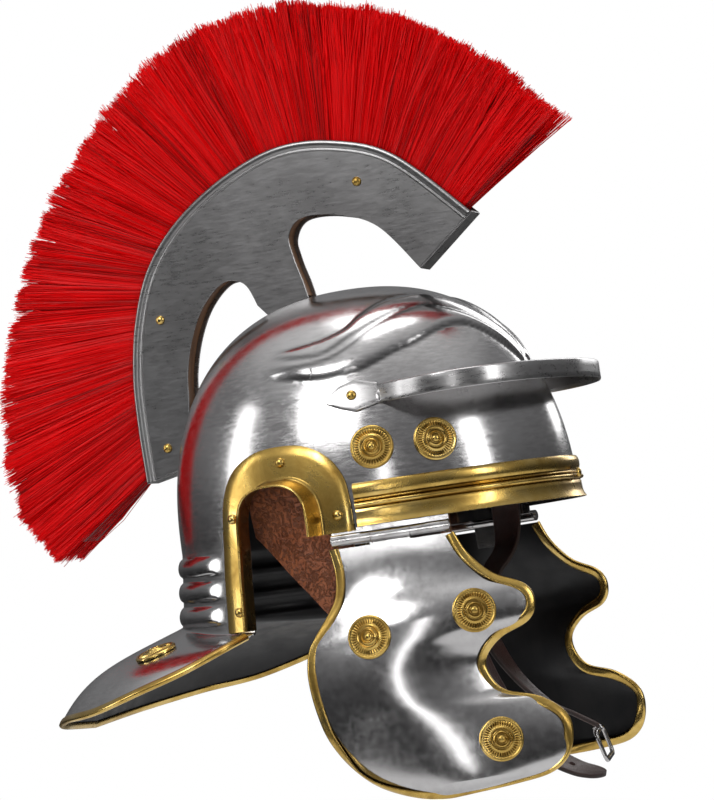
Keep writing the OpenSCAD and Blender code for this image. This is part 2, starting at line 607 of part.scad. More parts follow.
// A cheek guard's outline as rows from the hinge down: for the rear and the front edge,
// how far forward of the hinge's rear end, and how far below the hinge line.
cheek_rows = [
    [-1, 4.6, 66, 4.3], [0.5, 18, 72, 17], [-1.5, 31, 84, 30], [-7, 40, 100, 38],
    [-14, 49, 104.5, 47], [-19.5, 57, 100, 57], [-22, 67, 83, 64.5], [-22, 78, 73, 77],
    [-20, 92, 80, 93], [-16, 106, 100, 100], [-7, 121, 113.5, 112], [5, 133, 112.5, 128],
    [18, 140, 102, 138.5], [32, 144.5, 82, 142.5], [45, 146, 62, 144.5]];
cheek_row_steps = 21;
cheek_columns = 6;
down = [outward[0] * sin(splay), outward[1] * sin(splay), -cos(splay)];
cheek_normal = [outward[0] * cos(splay), outward[1] * cos(splay), sin(splay)];

// Bulge of the plate at row share u from the hinge and share v from rear to front.
// It grows less where the plate is narrow.
narrow = 84;
function cheek_rise(u, v) = let (r = curve(cheek_rows, u))
    cheek_bulge * pow(sin(180 * clamp01(v)), 0.9) * ease(u / 0.32) * (1 - 0.55 * pow(u, 3))
    * min(1, (r[2] - r[0]) / narrow);
function cheek_point(u, v, out) =
    let (r = curve(cheek_rows, u), s = mix(r[0], r[2], v), t = mix(r[1], r[3], v))
    hinge_at + along * s + down * t + cheek_normal * (cheek_rise(u, v) + out);

module cheek_plate() {
    rings = [for (i = [0 : cheek_row_steps]) let (u = i / cheek_row_steps) concat(
        [for (j = [0 : cheek_columns]) cheek_point(u, j / cheek_columns, 0)],
        [for (j = [cheek_columns : -1 : 0]) cheek_point(u, j / cheek_columns, -sheet)])];
    loft(rings);
}
color(STEEL) cheek_plate();  // cheek_plate_right
color(STEEL) mirror([1, 0, 0]) cheek_plate();  // cheek_plate_left

// The binding runs down the rear edge, across the bottom and up the front edge.
module cheek_trim() {
    n = cheek_row_steps;
    m = cheek_columns;
    stops = concat([for (i = [0 : n]) [i / n, 0]], [for (j = [1 : m - 1]) [1, j / m]],
        [for (i = [n : -1 : 0]) [i / n, 1]]);
    edge = [for (s = stops) cheek_point(s[0], s[1], 0)];
    last = len(edge) - 1;
    function ring(i) =
        let (run = unit(edge[min(i + 1, last)] - edge[max(i - 1, 0)]),
            u = stops[i][0], v = stops[i][1],
            deep = cheek_point(u > 0.85 ? u - 1 / n : u, max(1 / m, min(v, 1 - 1 / m)), 0) - edge[i],
            n0 = unit(cross(run, deep)), face = n0 * cheek_normal < 0 ? -n0 : n0,
            w0 = cross(face, run)) binding_ring(edge[i], face, w0 * deep < 0 ? -w0 : w0, sheet);
    loft([for (i = [0 : last]) ring(i)]);
}
color(BRASS) cheek_trim();  // cheek_trim_right
color(BRASS) mirror([1, 0, 0]) cheek_trim();  // cheek_trim_left

// The moving leaf: the middle knuckle with a plate behind the top of the cheek guard.
cheek_leaf_h = 15;
module cheek_leaf() {
    at_hinge() {
        knuckle_tube(1) cylinder(r = tube_r, h = knuckle);
        // The plate starts inside the tube's wall, clear of the pin's bore.
        translate([knuckle + 2 * knuckle_gap, 0, 0]) rotate([splay, 0, 0])
            translate([0, -sheet - clear - leaf_t, -cheek_leaf_h])
            cube([knuckle - 2 * knuckle_gap, leaf_t, cheek_leaf_h - pin_d / 2]);
    }
}
color(SILVER) cheek_leaf();  // cheek_leaf_right
color(SILVER) mirror([1, 0, 0]) cheek_leaf();  // cheek_leaf_left

// Rosettes on a cheek guard, at [row share, share from rear to front].
cheek_spots = [[0.34, 0.27], [0.295, 0.73], [0.735, 0.68]];
module cheek_rosette(i, side) {
    u = cheek_spots[i][0];
    v = cheek_spots[i][1];
    p = cheek_point(u, v, 0);
    n0 = cross(cheek_point(u, v + 0.06, 0) - cheek_point(u, v - 0.06, 0),
        cheek_point(u + 0.03, v, 0) - cheek_point(u - 0.03, v, 0));
    n = unit(n0 * cheek_normal < 0 ? -n0 : n0);
    color(BRASS) mirror([side, 0, 0]) stand_on(p + n * 0.6, n) rosette();
}
cheek_rosette(0, 0);  // cheek_rosette_right_1
cheek_rosette(1, 0);  // cheek_rosette_right_2
cheek_rosette(2, 0);  // cheek_rosette_right_3
cheek_rosette(0, 1);  // cheek_rosette_left_1
cheek_rosette(1, 1);  // cheek_rosette_left_2
cheek_rosette(2, 1);  // cheek_rosette_left_3

// ---- lining and straps -------------------------------------------------

// The lining flap: stations from front to rear as [y, lower edge]. Its top lies against the
// bowl, and it hangs a little clear of the wall below that.
lining_top = 46;
lining_rows = 6;
lining_edge = [[-14, -52], [-8, -60], [0, -52], [8, -43], [16, -33], [24, -23], [32, -13], [40, -3],
    [45, 3]];
module lining() {
    function layer(z) = -sheet - 2 * seat - 6 * ease((lining_top - 10 - z) / 40);
    function at(y, z, in) = [-wall_x(y, max(z, 0), layer(z) - in), y, z];
    rings = [for (e = lining_edge) concat(
        [for (j = [0 : lining_rows]) at(e[0], mix(lining_top, e[1], j / lining_rows), 0)],
        [for (j = [lining_rows : -1 : 0])
            at(e[0], mix(lining_top, e[1], j / lining_rows), lining_t)])];
    loft(rings);
}
color(RUST) lining();  // lining_right
color(RUST) mirror([1, 0, 0]) lining();  // lining_left

// A flat strap along a route of [point, direction of its width].
module strap(route, steps) {
    place = [for (r = route) r[0]];
    lie = [for (r = route) r[1]];
    centre = curve_points(place, steps);
    rings = [for (i = [0 : steps])
        let (run = unit(centre[min(i + 1, steps)] - centre[max(i - 1, 0)]),
            w0 = curve(lie, i / steps), w = unit(w0 - run * (w0 * run)) * strap_w / 2,
            n = unit(cross(run, w)) * strap_t / 2, c = centre[i])
        [c - w + n, c + w + n, c + w - n, c - w - n]];
    loft(rings);
}

// Both straps start flat against the fixed hinge leaf, near its front end.
strap_s = 50;
strap_steps = 28;
strap_start = hinge_at + along * strap_s - outward * (leaf_in + leaf_t + leaf_gap + strap_t / 2);
function from_start(v) = strap_start + v;
strap_right_route = [
    [from_start([0, 0, 14]), along], [from_start([0, 0, 2]), along],
    [from_start([6, 0, -16]), along + [0.3, 0, 0]], [from_start([17, -3, -38]), [1, -0.9, 0]],
    [from_start([29, -7, -64]), [1, -0.5, 0.3]], [from_start([41, -12, -90]), [1, -0.3, 0.4]],
    [from_start([52, -20, -114]), [1, -0.2, 0.4]], [from_start([59, -33, -133]), [1, -0.15, 0.3]],
    [from_start([63, -49, -145]), [1, -0.1, 0.2]], [from_start([66, -64, -150]), [1, -0.1, 0.1]]];
strap_left_route = [
    [from_start([0, 0, 14]), along], [from_start([0, 0, 2]), along],
    [from_start([6, 1, -15]), along + [0.3, 0, 0]], [from_start([26, 6, -30]), [1, -0.6, -0.4]],
    [from_start([42, 8, -48]), [1, -0.2, -0.5]], [from_start([54, 4, -68]), [1, 0, -0.3]],
    [from_start([57, -8, -90]), [1, 0, 0]], [from_start([52, -22, -108]), [1, 0, 0.1]],
    [from_start([45, -36, -118]), [1, 0, 0.2]], [from_start([40, -47, -126]), [1, 0, 0.2]]];
color(BROWN) strap(strap_right_route, strap_steps);  // strap_right
color(BROWN) mirror([1, 0, 0]) strap(strap_left_route, strap_steps);  // strap_left

// The buckle hangs from the left strap's end: a rounded frame with a prong across it.
buckle_w = strap_w + 6;
buckle_l = 20;
buckle_bar = 3;      // width of the frame's bars
buckle_t = 2.4;
prong_d = 2;
strap_end = strap_left_route[len(strap_left_route) - 1];
end_run = unit([-0.15, -0.22, -1]);
end_wide = unit(strap_end[1] - end_run * (strap_end[1] * end_run));
end_face = -cross(end_run, end_wide);
// Draws a child hanging at the end of the left strap: X across it, Y down its length, Z forward.
module at_buckle() {
    mirror([1, 0, 0])
        multmatrix([for (i = [0 : 2]) [end_wide[i], end_run[i], end_face[i], strap_end[0][i]]])
        translate([0, clear + strap_t / 2, 0]) children();
}
module rounded_box(w, l, r) {
    for (s = [-1, 1]) {
        translate([s * (w / 2 - r), l - r]) circle(r);
        translate([s * (w / 2 - r), r]) circle(r);
    }
    translate([-w / 2, r]) square([w, l - 2 * r]);
    translate([-w / 2 + r, 0]) square([w - 2 * r, l]);
}
module buckle_frame() {
    at_buckle() translate([0, 0, -buckle_t / 2]) linear_extrude(buckle_t) difference() {
        rounded_box(buckle_w, buckle_l, 3.5);
        translate([0, buckle_bar]) rounded_box(buckle_w - 2 * buckle_bar, buckle_l - 2 * buckle_bar, 1.5);
    }
}
color(SILVER) buckle_frame();

module buckle_prong() {
    at_buckle() translate([0, 0.5, (buckle_t + prong_d) / 2 + clear]) rotate([-90, 0, 0])
        cylinder(d = prong_d, h = buckle_l);
}
color(SILVER) buckle_prong();
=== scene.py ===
import math

import bpy
import numpy as np
from mathutils import Matrix, Vector


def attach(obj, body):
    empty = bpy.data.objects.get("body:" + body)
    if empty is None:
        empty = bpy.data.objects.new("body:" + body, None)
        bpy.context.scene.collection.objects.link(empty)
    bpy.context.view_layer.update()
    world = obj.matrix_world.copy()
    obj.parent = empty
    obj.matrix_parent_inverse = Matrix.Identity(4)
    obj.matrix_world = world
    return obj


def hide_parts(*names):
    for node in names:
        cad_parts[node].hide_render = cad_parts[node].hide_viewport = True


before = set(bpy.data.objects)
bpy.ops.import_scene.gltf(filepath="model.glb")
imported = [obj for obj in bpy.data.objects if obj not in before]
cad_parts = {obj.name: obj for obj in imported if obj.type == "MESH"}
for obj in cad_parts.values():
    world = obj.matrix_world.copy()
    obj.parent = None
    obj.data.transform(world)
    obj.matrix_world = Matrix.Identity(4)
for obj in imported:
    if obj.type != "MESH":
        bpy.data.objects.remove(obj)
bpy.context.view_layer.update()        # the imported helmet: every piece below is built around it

# All shapes are worked out in millimetres, in the CAD part's frame, and scaled once in `piece`.
MM = 0.001
HALF_W, HALF_D, BOWL_H = 99.0, 118.0, 139.0
SHEET, BRASS_T, SEAT, CLEAR = 1.2, 0.9, 0.4, 0.3
PLAN, DOME = 2.1, 2.35
LEAN = 0.001                                 # how much the nape widens for each mm down
SIDES = (("right", False), ("left", True))   # name, and whether the piece is mirrored
TURN = 2 * math.pi


# ---- small maths -----------------------------------------------------------

def spow(v, p):
    return np.sign(v) * np.abs(v) ** p


def mix(a, b, f):
    return a + (b - a) * f


def ease(f):
    g = np.clip(f, 0, 1)
    return g * g * (3 - 2 * g)


def unit(v):
    v = np.asarray(v, float)
    return v / np.maximum(np.linalg.norm(v, axis=-1, keepdims=True), 1e-12)


def curve(points, f):
    """Catmull-Rom through points, at each f from 0 to 1, evenly by index."""
    c = np.asarray(points, float)
    n = len(c) - 1
    g = np.clip(np.asarray(f, float), 0, 1) * n
    i = np.minimum(np.floor(g).astype(int), n - 1)
    u = (g - i)[..., None]
    a, b = c[np.maximum(i - 1, 0)], c[i]
    d, e = c[i + 1], c[np.minimum(i + 2, n)]
    return 0.5 * (2 * b + (d - a) * u + (2 * a - 5 * b + 4 * d - e) * u * u
                  + (3 * b - a - 3 * d + e) * u ** 3)


def runs(path):
    """The direction of a path at each of its points."""
    p = np.asarray(path, float)
    return unit(np.concatenate([p[1:2] - p[:1], p[2:] - p[:-2], p[-1:] - p[-2:-1]]))


def inset(path, d):
    """A plane path shifted to the left of its run."""
    run = runs(path)
    return np.asarray(path, float) + d * np.stack([-run[:, 1], run[:, 0]], -1)


def even(path, n):
    """The same path with n + 1 points at even distances."""
    p = np.asarray(path, float)
    s = np.concatenate([[0], np.cumsum(np.linalg.norm(np.diff(p, axis=0), axis=1))])
    t = np.linspace(0, s[-1], n + 1)
    return np.stack([np.interp(t, s, p[:, k]) for k in range(p.shape[1])], -1)


def relax(values, times):
    """Evens out a row of points or vectors, with its two ends kept."""
    v = np.array(values, float)
    for _ in range(times):
        v[1:-1] = 0.25 * v[:-2] + 0.5 * v[1:-1] + 0.25 * v[2:]
    return v


# ---- meshes ----------------------------------------------------------------

def grid_faces(rows, cols, wrap=False, start=0):
    """Quads of a grid whose points are stored row by row."""
    i, j = np.meshgrid(np.arange(rows - 1), np.arange(cols if wrap else cols - 1), indexing="ij")
    a = start + i * cols + j
    b = start + i * cols + (j + 1) % cols
    return np.stack([a, b, b + cols, a + cols], -1).reshape(-1, 4)


def normals_of(verts, faces):
    """Vertex normals of a mesh of quads, where a triangle repeats its last index."""
    p = verts[faces]
    n = np.cross(p[:, 2] - p[:, 0], p[:, 3] - p[:, 1])
    out = np.zeros_like(verts)
    for k in range(4):
        np.add.at(out, faces[:, k], n)
    return unit(out)


def shell(verts, faces, t, way=1):
    """A closed sheet: the given face, and its copy t behind it, joined round every open edge.
    Returns the points, the faces, and 0, 1 or 2 for front, back or edge."""
    m = len(verts)
    back = verts - way * t * normals_of(verts, faces)
    pairs = np.concatenate([faces[:, [k, (k + 1) % 4]] for k in range(4)])
    pairs = pairs[pairs[:, 0] != pairs[:, 1]]
    seen = {}
    for a, b in pairs.tolist():
        seen[(a, b)] = seen.get((a, b), 0) + 1
    rim = np.array([(a, b) for a, b in seen if (b, a) not in seen])
    side = np.stack([rim[:, 1], rim[:, 0], rim[:, 0] + m, rim[:, 1] + m], -1)
    return (np.concatenate([verts, back]), np.concatenate([faces, faces[:, ::-1] + m, side]),
            np.concatenate([np.zeros(len(faces)), np.ones(len(faces)), np.full(len(side), 2)]).astype(int))


def tube(rings, closed_path=False, caps=True):
    """A mesh through closed rings of points: an array of rings x points x 3."""
    r, m = rings.shape[:2]
    verts = rings.reshape(-1, 3)
    faces = [list(f) for f in grid_faces(r, m, wrap=True)]
    if closed_path:
        last = (r - 1) * m
        faces += [[last + j, last + (j + 1) % m, (j + 1) % m, j] for j in range(m)]
    elif caps:
        faces += [list(range(m))[::-1], [(r - 1) * m + j for j in range(m)]]
    return verts, faces


def piece(name, verts, faces, materials, body, replaces=(), which=None, tone=None,
          mirror=False, sharp=32):
    """A finished piece. verts are in mm; which picks each face's material; tone is a value per
    point, from 0 to 1 where it is bare and bright, that darkens the colour: patina in the brass's hollows,
    painted shade in the bowl's creases and towards the plume's roots, a painted dark reflection with
    black paint on the ear guards' flanges, and a random tone from bristle to bristle."""
    verts = np.array(verts, float) * MM
    faces = [list(dict.fromkeys(int(i) for i in f)) for f in faces]
    if mirror:
        verts[:, 0] *= -1
        faces = [f[::-1] for f in faces]
    me = bpy.data.meshes.new(name)
    me.from_pydata(verts.tolist(), [], faces)
    me.update()
    if which is not None:
        me.polygons.foreach_set("material_index", np.asarray(which, np.int32))
    shade = me.attributes.new("tone", "FLOAT", "POINT")
    shade.data.foreach_set("value", np.asarray(tone if tone is not None else np.ones(len(verts)), np.float32))
    for m in materials if isinstance(materials, (list, tuple)) else [materials]:
        me.materials.append(m)
    me.shade_smooth()
    me.set_sharp_from_angle(angle=math.radians(sharp))
    ob = bpy.data.objects.new(name, me)
    bpy.context.scene.collection.objects.link(ob)
    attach(ob, body)
    if replaces:
        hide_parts(*replaces)
    return ob


def outward_faces(verts, faces):
    """The faces, turned if the closed mesh is inside out."""
    v = np.asarray(verts, float)
    total = 0.0
    for f in faces:
        for k in range(1, len(f) - 1):
            total += np.dot(v[f[0]], np.cross(v[f[k]], v[f[k + 1]]))
    return faces if total > 0 else [list(f)[::-1] for f in faces]


# ---- materials -------------------------------------------------------------

class Maker:
    """Shortcuts for one node material."""

    def __init__(self, name):
        self.mat = bpy.data.materials.new(name)
        self.mat.use_nodes = True
        self.nodes, self.links = self.mat.node_tree.nodes, self.mat.node_tree.links
        self.shader = self.nodes["Principled BSDF"]
        self.place = self.nodes.new("ShaderNodeTexCoord").outputs["Object"]

    def set(self, **values):
        for key, v in values.items():
            self.shader.inputs[key.replace("_", " ")].default_value = v

    def link(self, a, b):
        self.links.new(a, b)

    def stretch(self, scale):
        m = self.nodes.new("ShaderNodeMapping")
        m.inputs["Scale"].default_value = scale
        self.link(self.place, m.inputs["Vector"])
        return m.outputs["Vector"]

    def noise(self, scale, detail=3, rough=0.5, stretch=None, warp=0.0):
        n = self.nodes.new("ShaderNodeTexNoise")
        n.inputs["Scale"].default_value = scale
        n.inputs["Detail"].default_value = detail
        n.inputs["Roughness"].default_value = rough
        n.inputs["Distortion"].default_value = warp
        self.link(self.stretch(stretch) if stretch else self.place, n.inputs["Vector"])
        return n.outputs["Fac"]

    def ramp(self, value, stops):
        r = self.nodes.new("ShaderNodeValToRGB")
        e = r.color_ramp.elements
        while len(e) < len(stops):
            e.new(0.5)
        for k, (at, colour) in enumerate(stops):
            e[k].position = at
            c = colour if isinstance(colour, (tuple, list)) else (colour,) * 3
            e[k].color = (*c, 1)
        self.link(value, r.inputs["Fac"])
        return r.outputs["Color"]

    def blend(self, how, a, b, fac=1.0):
        m = self.nodes.new("ShaderNodeMix")
        m.data_type = "RGBA"
        m.blend_type = how
        if isinstance(fac, float):
            m.inputs[0].default_value = fac
        else:
            self.link(fac, m.inputs[0])
        for socket, v in ((6, a), (7, b)):
            if isinstance(v, tuple):
                m.inputs[socket].default_value = (*v, 1)
            else:
                self.link(v, m.inputs[socket])
        return m.outputs[2]

    def maths(self, how, a, b):
        m = self.nodes.new("ShaderNodeMath")
        m.operation = how
        for k, v in enumerate((a, b)):
            if isinstance(v, (int, float)):
                m.inputs[k].default_value = v
            else:
                self.link(v, m.inputs[k])
        return m.outputs[0]

    def tone(self):
        a = self.nodes.new("ShaderNodeAttribute")
        a.attribute_name = "tone"
        return a.outputs["Fac"]

    def bump(self, *layers):
        """Each layer is (height, distance in mm)."""
        last = None
        for value, depth in layers:
            b = self.nodes.new("ShaderNodeBump")
            b.inputs["Strength"].default_value = 1.0
            b.inputs["Distance"].default_value = depth * MM
            self.link(value, b.inputs["Height"])
            if last:
                self.link(last, b.inputs["Normal"])
            last = b.outputs["Normal"]
        self.link(last, self.shader.inputs["Normal"])

    def colour(self, socket):
        self.link(socket, self.shader.inputs["Base Color"])

    def roughness(self, socket):
        self.link(socket, self.shader.inputs["Roughness"])


def steel(name, streaks, base=0.5, rough=(0.13, 0.27), depth=0.34, shade_creases=False):
    m = Maker(name)
    m.set(Metallic=1.0)
    grain = m.noise(1, 3, 0.65, stretch=streaks)
    cloud = m.noise(26, 4, 0.6, warp=0.4)
    patch = m.noise(8, 3, 0.55, warp=0.6)
    shade = m.ramp(m.maths("ADD", m.maths("MULTIPLY", grain, 0.3), m.maths("MULTIPLY", patch, 0.7)),
                   [(0.3, (base * (1 - depth), base * (0.98 - depth), base * (0.98 - depth))),
                    (0.52, (base, base * 0.985, base * 0.985)), (0.72, (base * 1.12, base * 1.12, base * 1.13))])
    # With shade_creases, the tone attribute darkens the colour: painted shade along the brow's creases.
    m.colour(m.blend("MULTIPLY", shade, m.ramp(m.tone(), [(0.0, 0.3), (1.0, 1.0)])) if shade_creases else shade)
    m.roughness(m.ramp(m.maths("ADD", m.maths("MULTIPLY", grain, 0.6), m.maths("MULTIPLY", cloud, 0.4)),
                       [(0.32, rough[0]), (0.68, rough[1])]))
    m.bump((grain, 0.02), (cloud, 0.05), (patch, 0.5))
    return m.mat


def brass(name, dark=(0.085, 0.045, 0.012)):
    m = Maker(name)
    m.set(Metallic=1.0)
    cloud = m.noise(42, 5, 0.62, warp=0.5)
    fine = m.noise(420, 3, 0.6, stretch=(1, 1, 0.3))
    bare = m.ramp(cloud, [(0.3, (0.27, 0.16, 0.035)), (0.5, (0.50, 0.335, 0.09)), (0.75, (0.70, 0.52, 0.20))])
    m.colour(m.blend("MIX", dark, bare, m.ramp(m.tone(), [(0.0, 0.1), (0.9, 1.0)])))
    m.roughness(m.ramp(cloud, [(0.3, 0.36), (0.7, 0.17)]))
    m.bump((fine, 0.012), (cloud, 0.14))
    return m.mat


def black_paint():
    m = Maker("black_paint")
    m.set(IOR=1.45, Specular_IOR_Level=0.25)
    m.colour(m.ramp(m.noise(60, 4), [(0.3, (0.006, 0.006, 0.007)), (0.7, (0.014, 0.013, 0.013))]))
    m.roughness(m.ramp(m.noise(90, 3), [(0.3, 0.3), (0.7, 0.46)]))
    m.bump((m.noise(700, 2), 0.03), (m.noise(60, 3), 0.15))
    return m.mat


def leather(name, low, high, grain, depth, rough):
    m = Maker(name)
    m.set(IOR=1.48)
    crease = m.ramp(m.noise(grain, 5, 0.62, warp=1.6), [(0.42, 0.0), (0.5, 0.8), (0.56, 1.0)])
    cloud = m.noise(35, 5, 0.65, warp=0.8)
    tint = m.ramp(cloud, [(0.28, low), (0.72, high)])
    m.colour(m.blend("MULTIPLY", tint, m.ramp(crease, [(0.0, 0.5), (1.0, 1.0)]), 0.9))
    m.roughness(m.ramp(cloud, [(0.3, rough[0]), (0.7, rough[1])]))
    m.bump((m.noise(900, 2), 0.05), (crease, depth), (cloud, depth * 1.2))
    return m.mat


def bright(name):
    m = Maker(name)
    m.set(Metallic=1.0)
    m.colour(m.ramp(m.noise(120, 3), [(0.3, (0.30, 0.29, 0.285)), (0.7, (0.52, 0.51, 0.51))]))
    m.roughness(m.ramp(m.noise(200, 3), [(0.3, 0.12), (0.7, 0.25)]))
    m.bump((m.noise(1, 2, 0.6, stretch=(900, 60, 1500)), 0.02), (m.noise(150, 3), 0.05))
    return m.mat


def wood():
    m = Maker("core_wood")
    ring = m.noise(1, 4, 0.6, stretch=(220, 40, 30), warp=0.6)
    m.colour(m.ramp(ring, [(0.3, (0.10, 0.045, 0.02)), (0.7, (0.26, 0.13, 0.06))]))
    m.set(Roughness=0.62)
    m.bump((ring, 0.2))
    return m.mat


def hair(name, low, high):
    m = Maker(name)
    m.set(IOR=1.45, Specular_IOR_Level=0.18)
    middle = tuple((2 * a + b) / 3 for a, b in zip(high, low))
    # The colour follows tone: random from bristle to bristle, with painted shade darker towards the roots.
    m.colour(m.ramp(m.tone(), [(0.0, low), (0.35, middle), (1.0, high)]))
    m.roughness(m.ramp(m.noise(300, 2), [(0.3, 0.36), (0.7, 0.5)]))
    m.bump((m.noise(1500, 2), 0.03))
    return m.mat


STEEL = steel("plain_steel", (160, 160, 700))
STEEL_BOWL = steel("bowl_steel", (160, 160, 700), shade_creases=True)
STEEL_CREST = steel("crest_steel", (300, 120, 800), 0.27, (0.25, 0.36), 0.25)
STEEL_PEAK = steel("peak_steel", (300, 90, 700), 0.46, (0.24, 0.36), 0.3)
STEEL_CHEEK = steel("cheek_steel", (60, 260, 260), 0.47, (0.15, 0.25), 0.3)
BRASS = brass("polished_brass")
BLACK = black_paint()
RUST = leather("rust_leather", (0.16, 0.04, 0.015), (0.36, 0.115, 0.045), 280, 0.8, (0.27, 0.42))
RUST_EDGE = leather("rust_leather_edge", (0.33, 0.15, 0.07), (0.48, 0.25, 0.12), 500, 0.2, (0.6, 0.75))
STRAP = leather("strap_leather", (0.022, 0.008, 0.006), (0.06, 0.02, 0.014), 900, 0.12, (0.28, 0.42))
STRAP_EDGE = leather("strap_edge", (0.012, 0.006, 0.005), (0.03, 0.014, 0.01), 900, 0.1, (0.4, 0.55))
CHROME = bright("bright_metal")
WOOD = wood()
HAIR = hair("red_bristle", (0.2, 0.0, 0.0), (0.98, 0.002, 0.004))
# The core's dark red is painted shade for the depth of the plume.
HAIR_SHADE_CORE = hair("red_bristle_shade_core", (0.03, 0.0, 0.0), (0.22, 0.001, 0.002))


# ---- bowl surface, as in the CAD part --------------------------------------

def azimuth(y):
    return np.arccos(-spow(np.asarray(y, float) / HALF_D, PLAN / 2))


def plan_point(a, out=0.0):
    return np.stack([(HALF_W + out) * spow(np.sin(a), 2 / PLAN),
                     -(HALF_D + out) * spow(np.cos(a), 2 / PLAN)], -1)


def wall_x(y, z, out=0.0):
    y, z = np.asarray(y, float), np.asarray(z, float)
    f = 1 + LEAN * np.maximum(-z, 0)
    k = (1 - np.clip(np.maximum(z, 0) / (BOWL_H + out), 0, 1) ** DOME) ** (PLAN / DOME)
    r = k - (np.abs(y) / (HALF_D + out) / f) ** PLAN
    return (HALF_W + out) * f * np.maximum(r, 0) ** (1 / PLAN)


def wall_point(y, z, out=0.0):
    y, z = np.broadcast_arrays(*(np.asarray(v, float) for v in (y, z)))
    return np.stack([-wall_x(y, z, out), y, z], -1)


def wall_normal(y, z):
    x, u, w = wall_x(y, z) / HALF_W, np.abs(y) / HALF_D, np.maximum(z, 0) / BOWL_H
    q = (x ** PLAN + u ** PLAN) ** (DOME / PLAN - 1)
    return unit(np.stack([-q * x ** (PLAN - 1) / HALF_W + 0 * u,
                          q * np.sign(y) * u ** (PLAN - 1) / HALF_D,
                          w ** (DOME - 1) / BOWL_H + 0 * u], -1))


def crown_z(x, y, out=0.0):
    s = (np.abs(x) / (HALF_W + out)) ** PLAN + (np.abs(y) / (HALF_D + out)) ** PLAN
    return (BOWL_H + out) * np.maximum(1 - s ** (DOME / PLAN), 0) ** (1 / DOME)


EAR_Y, EAR_W, EAR_H, EAR_SHOULDER = 22.5, 48.0, 32.5, 8.0
ARCH = 2.4                                   # how square the top of the ear opening is
NAPE_SIDE, NAPE_BACK = 49.0, 40.0
RIDGE_H, RIDGE_PITCH, RIDGE_FIRST, RIDGE_HALF, RIDGE_SAG = 2.6, 14.0, 6.5, 5.4, 3
RIDGE_FROM, RIDGE_FADE = 0.167, 0.1          # shares of the way from the ear to the back
GUARD_SIDE, GUARD_REACH, GUARD_DROP = 134.0, 199.0, 92.0
EAR_FRONT, EAR_BACK = azimuth(EAR_Y - EAR_W / 2), azimuth(EAR_Y + EAR_W / 2)


def arch_z(y):
    return EAR_SHOULDER + (EAR_H - EAR_SHOULDER) * (1 - (np.abs(y - EAR_Y) / (EAR_W / 2)) ** ARCH) ** (1 / ARCH)


def nape_root(f):
    return -mix(NAPE_SIDE, NAPE_BACK, ease(f))


corner = plan_point(EAR_BACK, 2) * (1 + LEAN * (NAPE_SIDE + 1))
GUARD_EDGE = np.array([[corner[0], corner[1], -NAPE_SIDE - 1]] + [
    [px, mix(corner[1], GUARD_REACH, fy), -mix(NAPE_SIDE, GUARD_DROP, fz)] for px, fy, fz in (
        (mix(corner[0], GUARD_SIDE, 0.6), 0.07, 0.16), (mix(corner[0], GUARD_SIDE, 0.92), 0.21, 0.36),
        (GUARD_SIDE, 0.38, 0.53), (GUARD_SIDE * 0.93, 0.6, 0.72), (GUARD_SIDE * 0.75, 0.8, 0.8),
        (GUARD_SIDE * 0.42, 0.955, 0.91), (0, 1, 1))])


def guard_rim(f, side):
    p = curve(GUARD_EDGE, f)
    return p * np.stack([side, np.ones_like(f), np.ones_like(f)], -1)


def guard_point(a, f, side, u):
    """Point of the neck guard at azimuth a, share f from ear to back, share u from nape to rim."""
    z = nape_root(f)
    root = np.concatenate([plan_point(a) * (1 + LEAN * -z)[..., None], z[..., None]], -1)
    rim = guard_rim(f, side)
    xy = mix(root[..., :2], rim[..., :2], u[..., None])
    return np.concatenate([xy, mix(root[..., 2], rim[..., 2], 0.58 * u + 0.42 * u ** 5)[..., None]], -1)


# Three lines of the embossed brow on the right side, from its rear end to the middle of the front.
BROW_LINES = [
    [(-71.6, 36.8, 98), (-79.5, 18, 92), (-83, -0.6, 87.4), (-82.3, -18, 86.8), (-79, -29, 89.5), (-73, -40, 94),
     (-66.6, -50, 97.7), (-56, -59, 103), (-50, -64, 106), (-41, -70, 107.5), (-33, -76, 106.7),
     (-25, -85, 101.5), (-18, -93, 93.4), (-12, -99, 85.7), (-9, -102, 81)],
    [(-75.7, 25, 96.8), (-79.5, 5.7, 94), (-78.5, -12, 95), (-74, -23, 99.7), (-66, -33, 107), (-56.6, -43, 112.7),
     (-46, -52, 116.7), (-35, -61, 118), (-28, -70, 115), (-18, -83, 106), (-8, -94, 95), (-4, -101, 84)],
    [(-70, 32, 102), (-73, 13, 103), (-72, -5, 106), (-66, -19, 111), (-58, -26, 118), (-45, -35, 124),
     (-35, -44, 126.6), (-23, -52, 127), (-17, -62, 124), (-12, -77, 114), (-3, -90, 101)]]


BROW_HEIGHTS, BROW_END, CREASE_SHADE_W = (2.3, 1.9), 0.16, 1.5


def brow_lift(p):
    """How far the embossed brow stands out of the bowl at each point, and how much painted shade darkens it along the
    creases at its edges.
    """
    n = 220
    lines = [even(curve(c, np.linspace(0, 1, 300)), n) for c in BROW_LINES]
    s = np.linspace(0, 1, n + 1)
    q = np.stack([-np.abs(p[:, 0]), p[:, 1], p[:, 2]], -1)
    lift, crease = np.zeros(len(p)), np.zeros(len(p))
    near = (q[:, 2] > 70) & (q[:, 1] < 50)
    for k, height in enumerate(BROW_HEIGHTS):
        centre = (lines[k] + lines[k + 1]) / 2
        half = np.maximum(np.linalg.norm(lines[k + 1] - lines[k], axis=1) / 2, 2.0)
        tall = height * ease(s / BROW_END) * np.minimum(1, half / 5)
        d = np.linalg.norm(q[near][:, None] - centre[None], axis=2) / half
        best, d = np.argmin(d, axis=1), d.min(axis=1)
        lift[near] = np.maximum(lift[near], tall[best] * np.maximum(1 - d ** 2, 0) ** 0.5)
        off = (d - 1.04) * half[best]
        crease[near] = np.maximum(crease[near], np.exp(-(off / CREASE_SHADE_W) ** 2) * ease(s[best] / 0.12))
    return lift, crease


